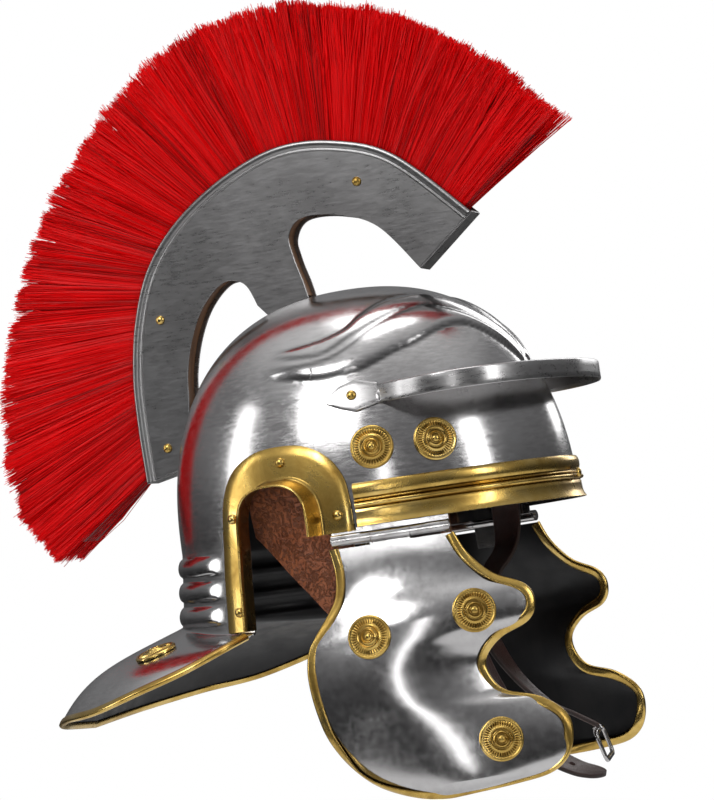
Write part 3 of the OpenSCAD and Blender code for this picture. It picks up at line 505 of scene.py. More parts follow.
def make_bowl():
    front, arch, back, rows = 100, 26, 44, 94
    a = np.concatenate([
        np.linspace(0, EAR_FRONT, front + 1),
        azimuth(EAR_Y - EAR_W / 2 * np.cos(np.pi * (np.arange(arch) + 0.5) / arch)),
        mix(EAR_BACK, np.pi, np.arange(back + 1) / back)])
    edge = np.zeros(len(a))
    k = slice(front + 1, front + 1 + arch)
    edge[k] = arch_z(EAR_Y - EAR_W / 2 * np.cos(np.pi * (np.arange(arch) + 0.5) / arch))
    first = front + 1 + arch
    cols = np.concatenate([a, 2 * np.pi - a[-2:0:-1]])
    low = np.concatenate([edge, edge[-2:0:-1]])
    n = len(cols)
    low = np.arcsin((low / BOWL_H) ** (DOME / 2))
    e = mix(np.pi / 2, low[None], (np.arange(1, rows + 1) / rows)[:, None])
    z = BOWL_H * np.sin(e) ** (2 / DOME)
    xy = plan_point(cols)[None] * (np.maximum(np.cos(e), 0) ** (2 / DOME))[..., None]
    dome = np.concatenate([xy, z[..., None]], -1)
    # Nape and neck guard behind the ears: column j of the back, from the left ear to the right one.
    count = 2 * back + 1
    j = np.arange(count)
    f = 1 - np.abs(j - back) / back
    side = np.where(j <= back, 1.0, -1.0)
    ang = cols[first:first + count]
    nape_rows, guard_rows = 66, 34
    deep = np.linspace(0, 1, nape_rows + 1)[1:, None] * -nape_root(f)[None]
    ridge = np.zeros_like(deep)
    for c in RIDGE_FIRST + RIDGE_PITCH * np.arange(3):
        off = np.abs(deep - RIDGE_SAG * (1 - f) - c) / RIDGE_HALF
        ridge = np.maximum(ridge, np.maximum(1 - off ** 2, 0) ** 0.6)
    lift = ridge * RIDGE_H * ease((f - RIDGE_FROM) / RIDGE_FADE)
    base = plan_point(ang)[None] * (1 + LEAN * deep)[..., None]
    nape = np.concatenate([base + unit(plan_point(ang))[None] * lift[..., None], -deep[..., None]], -1)
    u = (np.arange(1, guard_rows + 1) / guard_rows)[:, None] ** 1.3 * np.ones((1, count))
    guard = guard_point(*np.broadcast_arrays(ang[None], f[None], side[None], u))
    tail = np.concatenate([nape, guard])
    soft = slice(nape_rows - 5, nape_rows + 5)
    for _ in range(8):
        mid = 0.25 * tail[:-2] + 0.5 * tail[1:-1] + 0.25 * tail[2:]
        tail[soft] = mid[soft.start - 1:soft.stop - 1]
    # One skin: the crown, the dome's rows, then the rows of the tail.
    verts = np.concatenate([[[0, 0, BOWL_H]], dome.reshape(-1, 3), tail.reshape(-1, 3)])
    at = lambda i, k: 1 + i * n + k % n
    ks = np.arange(n)
    fan = np.stack([np.zeros(n, int), at(0, ks), at(0, ks + 1), at(0, ks + 1)], -1)
    faces = [fan, grid_faces(rows, n, wrap=True, start=1)[:, ::-1]]
    start = 1 + rows * n
    last = at(rows - 1, first + np.arange(count))
    k = np.arange(count - 1)
    faces.append(np.stack([last[k], start + k, start + k + 1, last[k + 1]], -1))
    faces.append(grid_faces(len(tail), count, start=start)[:, ::-1])
    faces = np.concatenate(faces)
    out = normals_of(verts, faces)
    if np.sum(out[1:1 + rows * n] * verts[1:1 + rows * n]) < 0:
        faces = faces[:, ::-1]
        out = -out
    skin = slice(1, 1 + rows * n)
    lift, crease = brow_lift(verts[skin])
    verts[skin] += out[skin] * lift[:, None]
    # Painted shade: the tone is lowered along the brow's creases, which darkens the bowl's colour there.
    tone = np.ones(2 * len(verts))
    tone[skin] -= crease
    v, fc, which = shell(verts, faces, SHEET)
    piece("bowl_shell", v, fc, [STEEL_BOWL, BLACK, STEEL], "root", ["bowl"], which, tone, sharp=50)


# ---- band, peak and ear guards ---------------------------------------------

def dome_points(a, z, out):
    k = (1 - np.minimum(z / (BOWL_H + out), 1) ** DOME) ** (1 / DOME)
    height = np.broadcast_to(np.asarray(z)[..., None], (*np.shape(a), 1))
    return np.concatenate([plan_point(a, out) * np.asarray(k)[..., None], height], -1)


BAND_H = 24.0
# The band's face: how far out, share of its height, tone.
BAND_FACE = [(3.0, 0.0, 0.7), (3.7, 0.01, 1), (3.3, 0.05, 1), (2.6, 0.1, 1), (2.1, 0.18, 1), (1.9, 0.3, 1),
             (1.9, 0.39, 0.9), (1.3, 0.415, 0.15), (1.9, 0.43, 0.8), (3.2, 0.45, 1), (3.7, 0.49, 1), (3.2, 0.53, 1),
             (1.9, 0.55, 0.7), (1.3, 0.565, 0.15), (2.2, 0.58, 0.9), (2.6, 0.6, 1), (2.2, 0.62, 0.9),
             (1.3, 0.64, 0.15), (1.9, 0.67, 0.9), (2.6, 0.76, 1), (2.8, 0.86, 1), (2.4, 0.95, 1), (1.8, 0.99, 1),
             (1.2, 1.0, 0.6)]


def make_band():
    end = azimuth(EAR_Y - EAR_W / 2 - 18.5 - 1)
    a = np.linspace(-end, end, 221)
    face = [(o, s * BAND_H, t) for o, s, t in BAND_FACE] + [(SEAT, BAND_H, 0.4), (SEAT, 0, 0.4)]
    rings = np.stack([dome_points(a, z, o) for o, z, t in face], 1)
    verts, faces = tube(rings)
    piece("brow_band_face", verts, outward_faces(verts, faces), BRASS, "root", ["brow_band"],
          tone=np.tile([t for _, _, t in face], len(a)), sharp=60)


PEAK_Z, LIP_H, LIP_T, PEAK_HALF, PEAK_REACH = 66.0, 10.5, 1.2, 101.0, 139.0
LIP_TOP = PEAK_Z + LIP_H
TAB_SEAT = SEAT + 0.25
PEAK_TURN = -40.0
PEAK_TAB = [(-10, 4, 6), (-18, 0, 12.5), (-27, -3, 15), (-33, -1.5, 13), (-39, 0, 11.5)]


def make_peak():
    side = float(wall_x(PEAK_TURN, PEAK_Z, SEAT))
    way = [(-side - 0.2, PEAK_TURN), (-mix(side, PEAK_HALF, 0.62), PEAK_TURN - 17), (-PEAK_HALF, PEAK_TURN - 40),
           (-PEAK_HALF * 0.906, mix(PEAK_TURN - 40, -PEAK_REACH, 0.423)),
           (-PEAK_HALF * 0.643, mix(PEAK_TURN - 40, -PEAK_REACH, 0.766)),
           (-PEAK_HALF * 0.259, mix(PEAK_TURN - 40, -PEAK_REACH, 0.966)), (0, -PEAK_REACH)]
    half = curve(way, np.linspace(0, 1, 91))
    path = np.concatenate([half, (half * [-1, 1])[-2::-1]])
    inner = inset(path, LIP_T)
    rings = []
    soft = 1.1
    for i in range(1, len(path) - 1):
        p, q = path[i], inner[i]
        c = math.atan2(abs(p[0]) / HALF_W, -p[1] / HALF_D)
        b = dome_points(azimuth(-HALF_D * math.cos(c)), LIP_TOP, TAB_SEAT)[:2]
        b = np.array([math.copysign(b[0], p[0]), b[1]])
        inn = unit(q - p)
        at = lambda xy, z: [xy[0], xy[1], z]
        ring = [at(mix(b, p + inn * soft, t), LIP_TOP) for t in (0, 0.3, 0.7, 1)]
        ring += [at(p + inn * soft * (1 - math.sin(g)), LIP_TOP - soft * (1 - math.cos(g)))
                 for g in (0.5, 1.05, 1.57)]
        ring += [at(p, mix(LIP_TOP - soft, PEAK_Z + 0.5, t)) for t in (0.35, 0.7, 1)]
        ring += [at(mix(p, q, 0.2), PEAK_Z), at(mix(p, q, 0.8), PEAK_Z)]
        ring += [at(q, PEAK_Z + 0.5), at(q, PEAK_Z + 4), at(q, LIP_TOP - LIP_T)]
        ring += [at(mix(q, b, t), LIP_TOP - LIP_T) for t in (0.3, 0.7, 1)]
        rings.append(ring)
    # Tab: the same number of points, down its outer face and back up its inner face.
    down = [0, 0.06, 0.16, 0.3, 0.42, 0.54, 0.66, 0.78, 0.9, 0.97]
    up = [1, 0.97, 0.9, 0.6, 0.35, 0.2, 0.08, 0]
    knots = np.array(PEAK_TAB, float)
    s = np.linspace(0, len(knots) - 1, 33)
    tab = []
    for t in s:
        y, lo, hi = (np.interp(t, range(len(knots)), knots[:, k]) for k in range(3))
        lo, hi = PEAK_Z + lo, PEAK_Z + hi
        ring = [wall_point(y, mix(hi, lo, d), SEAT + LIP_T - (0.3 if d in (0, 0.97) else 0)) for d in down]
        ring += [wall_point(y, mix(hi, lo, d), TAB_SEAT) for d in up]
        tab.append(ring)
    tab = np.array(tab)
    rings = np.concatenate([tab, np.array(rings), (tab * [-1, 1, 1])[::-1]])
    verts, faces = tube(rings)
    piece("peak_sheet", verts, outward_faces(verts, faces), STEEL_PEAK, "root", ["peak"], sharp=40)


EAR_PLATE, EAR_FLANGE, EAR_SEAT = 18.5, 15.0, SEAT + 0.2
EAR_STATIONS = [(-1, 0, -1, 0), (-1, 0.34, -1, 0.12), (-0.93, 0.62, -0.95, 0.5), (-0.72, 0.84, -0.76, 0.8),
                (-0.4, 0.97, -0.42, 1), (0, 1, -0.02, 1.05), (0.36, 0.97, 0.36, 1), (0.68, 0.84, 0.7, 0.82),
                (0.88, 0.6, 0.9, 0.5), (0.97, 0.25, 0.98, 0.15)]


def make_ear_guards():
    hw, hh = EAR_W / 2 - 1, EAR_H - 1.2
    rim = [(EAR_Y + a * hw + c * EAR_PLATE, b * hh + d * EAR_PLATE - (1.6 if b == 0 else 0),
            EAR_Y + a * hw, b * hh - (1.6 if b == 0 else 0)) for a, b, c, d in EAR_STATIONS]
    for f in (0.35, 0.68, 1):
        z = (-NAPE_SIDE + 1.2) * f
        rim.append((EAR_Y + EAR_W / 2 + EAR_PLATE + 2 * f, z, EAR_Y + EAR_W / 2 - 0.8 + 1.4 * f, z))
    s = curve(rim, np.linspace(0, 1, 121))
    tilt = math.radians(15)
    rings, tones = [], []
    for oy, oz, iy, iz in s:
        n = wall_normal(np.array(iy), np.array(max(iz, 0.0)))
        lean = unit([0, EAR_Y - iy, min(0, 6 - iz)])
        f = unit(n * math.cos(tilt) + lean * math.sin(tilt))
        on = lambda t, out: wall_point(mix(oy, iy, t), mix(oz, iz, t), out)
        face = EAR_SEAT + BRASS_T
        q = wall_point(iy, iz, face) - lean * BRASS_T
        tip = wall_point(iy, iz, face) + f * EAR_FLANGE
        bend = 1.6
        rings.append([on(0, face - 0.35), on(0.02, face), on(0.3, face), on(0.6, face), on(0.9, face),
                      q - lean * bend, q - lean * bend * 0.3 + f * bend * 0.3, q + f * bend,
                      mix(q, tip - lean * BRASS_T, 0.4), mix(q, tip - lean * BRASS_T, 0.75),
                      tip - lean * BRASS_T - f * 0.9 - lean * 0.15,
                      tip - lean * BRASS_T * 1.15 - f * 0.35, tip - lean * BRASS_T * 0.5, tip - f * 0.25,
                      mix(tip, on(1, EAR_SEAT), 0.3), mix(tip, on(1, EAR_SEAT), 0.7),
                      on(1, EAR_SEAT), on(0.6, EAR_SEAT), on(0.3, EAR_SEAT), on(0, EAR_SEAT)])
        # Painted dark reflection with black paint: the flange's inner face is darkened behind the middle of the opening
        # and left bright in front.
        tones.append([0.5, 1, 1, 1, 0.9, 0.55, 0.5, 0.7, 1, 1, 1, 1, 1, 1]
                     + [1.0 if iy < EAR_Y + 4 else 0.25] * 2 + [0.3] * 4)
    verts, faces = tube(np.array(rings))
    faces = outward_faces(verts, faces)
    for side, mirror in SIDES:
        piece(f"ear_guard_sheet_{side}", verts, faces, BRASS, "root", [f"ear_guard_{side}"],
              tone=np.array(tones).ravel(), mirror=mirror, sharp=60)


# ---- small brass -----------------------------------------------------------

def stand_on(points, p, n):
    """Points drawn about the Z axis, stood on p with Z along n."""
    n = unit(n)
    turn = Matrix.Rotation(math.atan2(n[1], n[0]), 3, "Z") @ Matrix.Rotation(math.acos(n[2]), 3, "Y")
    return np.asarray(points) @ np.array(turn).T + p


def revolve(profile, steps):
    """Points and faces of a profile of (radius, height) turned about Z; it starts and ends on the axis."""
    ang = np.linspace(0, 2 * np.pi, steps, endpoint=False)
    verts = [[0, 0, profile[0][1]]]
    verts += [[r * math.cos(a), r * math.sin(a), h] for r, h in profile[1:-1] for a in ang]
    verts += [[0, 0, profile[-1][1]]]
    rows, end = len(profile) - 2, len(verts) - 1
    at = lambda i, j: 1 + i * steps + j % steps
    faces = [[0, at(0, j + 1), at(0, j)] for j in range(steps)]
    faces += [[at(i, j), at(i, j + 1), at(i + 1, j + 1), at(i + 1, j)] for i in range(rows - 1) for j in range(steps)]
    faces += [[end, at(rows - 1, j), at(rows - 1, j + 1)] for j in range(steps)]
    return np.array(verts), faces


RIVET_R = 2.8


def rivets(name, places, node, mirror=False):
    """One piece holding a domed rivet head at each (point, normal)."""
    profile = [(0, 0), (RIVET_R, 0), (RIVET_R, 0.3)]
    profile += [(RIVET_R * math.cos(a), 0.35 + 1.9 * math.sin(a)) for a in np.linspace(0.15, 1.4, 7)] + [(0, 2.26)]
    v, f = revolve(profile, 28)
    verts, faces = [], []
    for p, n in places:
        faces += [[i + len(v) * (len(verts)) for i in face] for face in f]
        verts.append(stand_on(v, p, n))
    verts = np.concatenate(verts)
    tone = np.tile(np.clip(v[:, 2] / 0.6, 0.25, 1), len(places))
    piece(name, verts, outward_faces(verts, faces), BRASS, "root", [node], tone=tone, mirror=mirror,
          sharp=60)


def wall_places(spots, out):
    return [(wall_point(y, z, out), wall_normal(np.array(float(y)), np.array(float(z)))) for y, z in spots]


def make_rivets():
    rivets("rivet_on_band", [((0, -HALF_D - 3.6 - CLEAR, BAND_H * 0.56), (0, -1, 0))], "band_rivet")
    mid = EAR_PLATE / 2
    ear = wall_places([(EAR_Y - EAR_W / 2 - mid, 8), (EAR_Y - 3, EAR_H + mid), (EAR_Y + EAR_W / 2 + mid - 1, 15),
                       (EAR_Y + EAR_W / 2 + mid + 1.5, -37)], EAR_SEAT + BRASS_T)
    tab = wall_places([(-25, PEAK_Z + 6.5)], SEAT + LIP_T)
    for side, mirror in SIDES:
        rivets(f"rivets_on_ear_guard_{side}", ear, f"ear_rivets_{side}", mirror)
        rivets(f"rivet_on_peak_{side}", tab, f"peak_rivet_{side}", mirror)
    heads = ((-19.6, BOWL_H + 61), (115, BOWL_H + 2), (122, BOWL_H - 74))
    rivets("rivets_on_crest", [((s * 8.5, y, z), (s, 0, 0)) for s in (-1, 1) for y, z in heads], "crest_rivets")


ROSETTE_R = 12.0


def rosette_mesh():
    """A pressed boss: rolled rim, ring of fine flutes, raised rings and a centre stud."""
    steps = 160
    r = np.concatenate([[0.0], np.linspace(0.5, 2.2, 5), np.linspace(2.6, 5.4, 8), np.linspace(5.7, 10.6, 11),
                        [10.9, 11.3, 11.7, 11.95, 12.0, 12.0]])
    ang = np.linspace(0, 2 * np.pi, steps, endpoint=False)
    R, A = np.meshgrid(r[1:], ang, indexing="ij")
    ring = lambda at, wide: np.exp(-((R - at) / wide) ** 2)
    flute = ease((R - 6.9) / 0.5) * ease((10.4 - R) / 0.5)
    wave = np.cos(40 * A)
    h = 1.0 + 1.5 * (1 - (R / ROSETTE_R) ** 2) + 0.7 * ring(11.2, 0.55) + 0.30 * flute * wave - 0.2 * flute
    h += 0.6 * ring(6.2, 0.5) - 0.35 * ring(5.1, 0.5) + 0.9 * ring(3.9, 0.55) - 0.3 * ring(2.8, 0.4)
    h += 1.5 * np.sqrt(np.maximum(1 - (R / 2.3) ** 2, 0))
    h[-1] = 0.0
    tone = 1 - 0.75 * flute * (0.5 - 0.5 * wave)
    for at, wide, dark in ((5.1, 0.45, 0.7), (2.8, 0.35, 0.7), (10.6, 0.25, 0.55)):
        tone -= dark * ring(at, wide)
    skin = np.stack([R * np.cos(A), R * np.sin(A), h], -1).reshape(-1, 3)
    verts = np.concatenate([[[0, 0, 1.0 + 1.5 + 1.5]], skin])
    faces = [[0, 1 + j, 1 + (j + 1) % steps] for j in range(steps)]
    faces += [list(f)[::-1] for f in grid_faces(len(r) - 1, steps, wrap=True, start=1)]
    faces.append([1 + (len(r) - 2) * steps + j for j in range(steps)])
    return verts, faces, np.concatenate([[1.0], tone.ravel()])


ROSETTE = rosette_mesh()


def rosette(node, body, p, n, mirror=False):
    v, f, tone = ROSETTE
    v = stand_on(v, p, n)
    piece(node.replace("rosette", "boss"), v, outward_faces(v, f), BRASS, body, [node],
          tone=np.clip(tone, 0, 1), mirror=mirror, sharp=70)


# ---- edge bindings ---------------------------------------------------------

def binding(path, normal, inward, wide, t=SHEET):
    """A folded strip of brass over a sheet's edge, with a rounded back."""
    half, b, slack = t / 2, 0.8, 0.12
    outer = half + slack + b
    rings = []
    for p, n, w in zip(path, normal, inward):
        mid = p - n * half
        at = lambda along, up: mid + w * along + n * up
        ring = [at(wide, outer - 0.35), at(wide - 0.5, outer), at(wide * 0.5, outer + 0.15), at(0.2, outer)]
        ring += [at(-outer * 0.8 * math.sin(g), outer * math.cos(g)) for g in (0.5, 1.05, 1.57, 2.09, 2.64)]
        ring += [at(0.2, -outer), at(wide * 0.5, -outer - 0.15), at(wide - 0.5, -outer), at(wide, -outer + 0.35)]
        ring += [at(wide, -half - slack), at(0.3, -half - slack), at(0.3, half + slack), at(wide, half + slack)]
        rings.append(ring)
    tones = [0.35, 0.9, 1, 1, 1, 1, 1, 1, 1, 1, 1, 0.9, 0.35, 0.3, 0.3, 0.3, 0.3]
    verts, faces = tube(np.array(rings))
    return verts, outward_faces(verts, faces), np.tile(tones, len(rings))


def make_neck_trim():
    half = np.linspace(0.035, 1, 91)
    f = np.concatenate([half, half[-2::-1]])
    side = np.where(np.arange(len(f)) <= 90, 1.0, -1.0)
    a = np.where(side > 0, mix(EAR_BACK, np.pi, f), 2 * np.pi - mix(EAR_BACK, np.pi, f))
    edge = guard_point(a, f, side, np.ones_like(f))
    deep = guard_point(a, f, side, np.full_like(f, 0.93))
    run = runs(edge)
    n = unit(np.cross(run, deep - edge))
    n *= np.where(n[:, 2:] < 0, -1, 1)
    w = np.cross(n, run)
    w *= np.where(np.sum(w * (deep - edge), 1, keepdims=True) < 0, -1, 1)
    v, fc, tone = binding(edge, relax(n, 6), relax(w, 6), 3.4)
    piece("neck_guard_binding", v, fc, BRASS, "root", ["neck_trim"], tone=tone, sharp=60)


# ---- crest -----------------------------------------------------------------

CREST_T, CREST_SHEET, BORDER_W = 17.0, 1.1, 6.5
lift = lambda pts: np.array(pts, float) + [0, BOWL_H]
CREST_OUTER = lift([(138.5, -92), (139, -58), (137.5, -28), (131, 4), (118, 34), (95, 59), (62, 79), (26, 90),
                    (-10, 87), (-45, 72), (-85, 32)])
CREST_LOOP = lift([(117, -88), (106, -58), (102.5, -32), (96, -11), (86, 6), (72, 17), (59, 14), (52.5, 0)])
CREST_FRONT = lift([(22.5, 10), (26, 24), (27, 37), (18, 46), (-4, 44), (-28, 33), (-49.7, 5)])
STEM_Y = (47.0, 20.5)


def slab(outline, x, t):
    """A flat plate in the crest's plane, with its outline as [y, z]."""
    o = np.asarray(outline, float)
    m = len(o)
    verts = np.concatenate([np.c_[np.full(m, x - t / 2), o], np.c_[np.full(m, x + t / 2), o]])
    faces = [list(range(m))[::-1], list(range(m, 2 * m))]
    faces += [[i, (i + 1) % m, m + (i + 1) % m, m + i] for i in range(m)]
    return verts, faces


def joined(parts):
    verts, faces, at = [], [], 0
    for v, f in parts:
        faces += [[i + at for i in face] for face in outward_faces(v, f)]
        verts.append(np.asarray(v, float))
        at += len(v)
    return np.concatenate(verts), faces


def make_crest():
    outer = curve(CREST_OUTER, np.linspace(0, 1, 161))
    foot = np.array([[y, crown_z(0, y, SEAT)] for y in np.linspace(STEM_Y[1], STEM_Y[0], 15)])
    side = np.concatenate([outer, curve(CREST_FRONT, np.linspace(1, 0, 61)), foot,
                           curve(CREST_LOOP, np.linspace(1, 0, 71))])
    x = (CREST_T - CREST_SHEET) / 2
    parts = [slab(side, s * x, CREST_SHEET) for s in (-1, 1)]
    tip, chin, back, heel = CREST_OUTER[-1], CREST_FRONT[-1], CREST_OUTER[0], CREST_LOOP[0]
    for a, b in ((chin, tip), (back, heel)):
        t = unit(b - a)
        n = -CREST_SHEET * np.array([t[1], -t[0]])
        parts.append(slab([a, b, b + n, a + n], 0, CREST_T - 0.4))
    verts, faces = joined(parts)
    ob = piece("crest_sheets", verts, faces, STEEL_CREST, "root", ["crest_box"])
    bevel = ob.modifiers.new("edges", "BEVEL")
    bevel.width, bevel.segments = 0.22 * MM, 2
    bevel.limit_method, bevel.angle_limit = "ANGLE", math.radians(50)
    # Rolled border on both faces: share of the border's width, and height above the sheet.
    roll = [(0.0, -CREST_SHEET), (0.0, 0.3), (0.05, 0.75), (0.14, 1.05), (0.28, 1.15), (0.44, 1.0), (0.58, 0.6),
            (0.68, 0.2), (0.74, 0.12), (0.8, 0.45), (0.87, 0.55), (0.94, 0.4), (1.0, 0.02), (1.0, -0.4)]
    for s, name in ((-1, "right"), (1, "left")):
        rings = []
        for share, up in roll:
            line = inset(outer, BORDER_W * share)
            rings.append(np.c_[np.full(len(line), s * (CREST_T / 2 + up)), line])
        v, f = tube(np.stack(rings, 1))
        piece(f"crest_border_{name}", v, outward_faces(v, f), STEEL_CREST, "root", sharp=60)


PLUME_TIPS = lift([(197, -134), (221, -99), (223, -46), (211, 7), (188, 59), (152, 107), (101, 152), (38, 171),
                   (-25, 165), (-86, 135), (-148, 75)])
ROOT_DEPTH = BORDER_W + 1
HAIR_HALF, PLUME_HALF = 6.7, 19.0            # half the plume's width at its root and its tips
PLUME_FROM, PLUME_TO = 0.014, 0.986
BRISTLES, BRISTLE_PIECES = 8800, 4
BRISTLE_R = (0.2, 0.34)


def smooth_noise(n, knots, seed):
    """A wandering value for each of n even places, between -1 and 1."""
    r = np.random.default_rng(seed)
    return curve(r.uniform(-1, 1, (knots, 1)), np.linspace(0, 1, n))[:, 0]


def hair_line(f, side, share, tip_f=None, length=1.0):
    """Point of a hair at share of its length: f along the crest, side from -1 to 1 across it."""
    a = curve(CREST_OUTER, f)
    b = curve(PLUME_TIPS, f if tip_f is None else tip_f)
    a0 = a - unit(b - a) * ROOT_DEPTH
    p = mix(a0, b, (share * length)[..., None])
    spread = HAIR_HALF + (PLUME_HALF - HAIR_HALF) * ease(share * 1.15 - 0.1) ** 0.9
    return np.concatenate([(side * spread)[..., None], p], -1)


# The core is a dark red body inside the bristles: painted shade deep in the plume, lighter towards the tips.
def make_plume_shade_core():
    steps, around = 240, 26
    f = np.linspace(PLUME_FROM, PLUME_TO, steps)
    wander = 0.80 + 0.05 * smooth_noise(steps, 40, 3) + 0.03 * smooth_noise(steps, 110, 4)
    rings, tones = [], []
    shares = np.concatenate([np.linspace(0, 1, around // 2), np.linspace(1, 0, around // 2)])
    sides = np.concatenate([-np.ones(around // 2), np.ones(around // 2)])
    for k in range(steps):
        ff = np.full(around, f[k])
        p = hair_line(ff, sides * (0.80 + 0.06 * math.sin(k * 2.1) * shares), shares * wander[k])
        rings.append(p)
        tones.append(0.35 + 0.3 * math.sin(k * 1.7) * shares + 0.35 * shares)
    v, fc = tube(np.array(rings))
    piece("plume_shade_core", v, outward_faces(v, fc), HAIR_SHADE_CORE, "root", ["plume"],
          tone=np.clip(np.array(tones).ravel(), 0, 1))


def make_bristles(name, count, seed):
    """A quarter of the plume's bristles: needles of three sides, bent once."""
    r = np.random.default_rng(seed)
    f = r.uniform(PLUME_FROM, PLUME_TO, count)
    side = r.uniform(-1, 1, count)
    side = np.where(r.random(count) < 0.62, np.sign(side) * (1 - 0.28 * r.random(count) ** 1.3), side)
    clumps = 150
    cl = np.floor(f * clumps + 0.4 * np.sign(side)).astype(int)
    cr = np.random.default_rng(11)
    shift = cr.uniform(-1, 1, clumps + 3)[cl]
    reach = cr.uniform(-1, 1, clumps + 3)[cl]
    toward = (cl + 0.5) / clumps - f
    broad = np.interp(f, np.linspace(0, 1, 60), np.random.default_rng(5).uniform(-1, 1, 60))
    tip_f = np.clip(f + 0.35 * toward + 0.0035 * shift + 0.004 * broad + r.normal(0, 0.0028, count), 0.0, 1.0)
    length = 0.98 + 0.02 * reach + 0.016 * broad + r.normal(0, 0.014, count) - 0.10 * r.random(count) ** 5
    bow = r.normal(0, 0.9, count) + 1.6 * shift
    stray = r.random(count) < 0.006
    tip_f = np.clip(np.where(stray, tip_f + r.normal(0, 0.02, count), tip_f), 0, 1)
    at = []
    for share in (0.06, 0.58, 1.0):
        mid_f = mix(f, tip_f, share ** 1.4)
        p = hair_line(mid_f, side, np.full(count, share), mid_f, length)
        p[:, 1] += bow * math.sin(math.pi * share)
        p[:, 2] -= np.abs(bow) * 0.3 * math.sin(math.pi * share)
        p[:, 0] += r.normal(0, 0.35, count) * share
        at.append(p)
    at = np.array(at)
    thick = r.uniform(*BRISTLE_R, count)
    run = unit(at[2] - at[0])
    e1 = unit(np.cross(run, r.normal(0, 1, (count, 3))))
    e2 = np.cross(run, e1)
    rings = []
    for k, wide in ((0, 1.0), (1, 0.95), (2, 0.7)):
        for g in (0, TURN / 3, 2 * TURN / 3):
            rings.append(at[k] + (e1 * math.cos(g) + e2 * math.sin(g)) * (thick * wide)[:, None])
    verts = np.stack(rings, 1).reshape(-1, 3)
    faces = [[2, 1, 0, 0], [6, 7, 8, 8]]
    for k in (0, 3):
        faces += [[k, k + 1, k + 4, k + 3], [k + 1, k + 2, k + 5, k + 4], [k + 2, k, k + 3, k + 5]]
    faces = (np.array(faces)[None] + 9 * np.arange(count)[:, None, None]).reshape(-1, 4)
    lock = 0.5 + 0.5 * np.interp(f, np.linspace(0, 1, 90), np.random.default_rng(9).uniform(-1, 1, 90))
    tone = np.clip(r.beta(2.2, 1.6, count) * 0.75 + 0.3 * lock - 0.1, 0, 1)
    # Painted shade: each bristle's colour darkens towards its root, deep inside the plume.
    depth = np.array([0.5] * 3 + [0.8] * 3 + [1.0] * 3)
    piece(name, verts, faces, HAIR, "root", tone=(tone[:, None] * depth[None]).ravel(), sharp=80)


# ---- cheek guards ----------------------------------------------------------

TOE, SPLAY = math.radians(14.6), math.radians(4)
HINGE_Y, HINGE_Z, HINGE_OUT, HINGE_LEN, TUBE_R = -6.0, -6.0, 3.6, 65.0, 3.25
HINGE_AT = np.array([-float(wall_x(HINGE_Y, 0)) - HINGE_OUT, HINGE_Y, HINGE_Z])
ALONG = np.array([math.sin(TOE), -math.cos(TOE), 0])
OUTWARD = np.array([-math.cos(TOE), -math.sin(TOE), 0])
DOWN = OUTWARD * math.sin(SPLAY) - np.array([0, 0, math.cos(SPLAY)])
CHEEK_N = OUTWARD * math.cos(SPLAY) + np.array([0, 0, math.sin(SPLAY)])
BULGE, NARROW = 13.0, 84.0
CHEEK_ROWS = [(-1, 4.6, 66, 4.3), (0.5, 18, 72, 17), (-1.5, 31, 84, 30), (-7, 40, 100, 38), (-14, 49, 104.5, 47),
              (-19.5, 57, 100, 57), (-22, 67, 83, 64.5), (-22, 78, 73, 77), (-20, 92, 80, 93), (-16, 106, 100, 100),
              (-7, 121, 113.5, 112), (5, 133, 112.5, 128), (18, 140, 102, 138.5), (32, 144.5, 82, 142.5),
              (45, 146, 62, 144.5)]
CHEEK_SPOTS = [(0.34, 0.27), (0.295, 0.73), (0.735, 0.68)]


def cheek_point(u, v, out=0.0):
    u, v = np.broadcast_arrays(np.asarray(u, float), np.asarray(v, float))
    r = curve(CHEEK_ROWS, u)
    s, t = mix(r[..., 0], r[..., 2], v), mix(r[..., 1], r[..., 3], v)
    rise = BULGE * np.sin(np.pi * np.clip(v, 0, 1)) ** 0.9 * ease(u / 0.32) * (1 - 0.55 * u ** 3)
    rise = rise * np.minimum(1, (r[..., 2] - r[..., 0]) / NARROW)
    return HINGE_AT + ALONG * s[..., None] + DOWN * t[..., None] + CHEEK_N * (rise + out)[..., None]


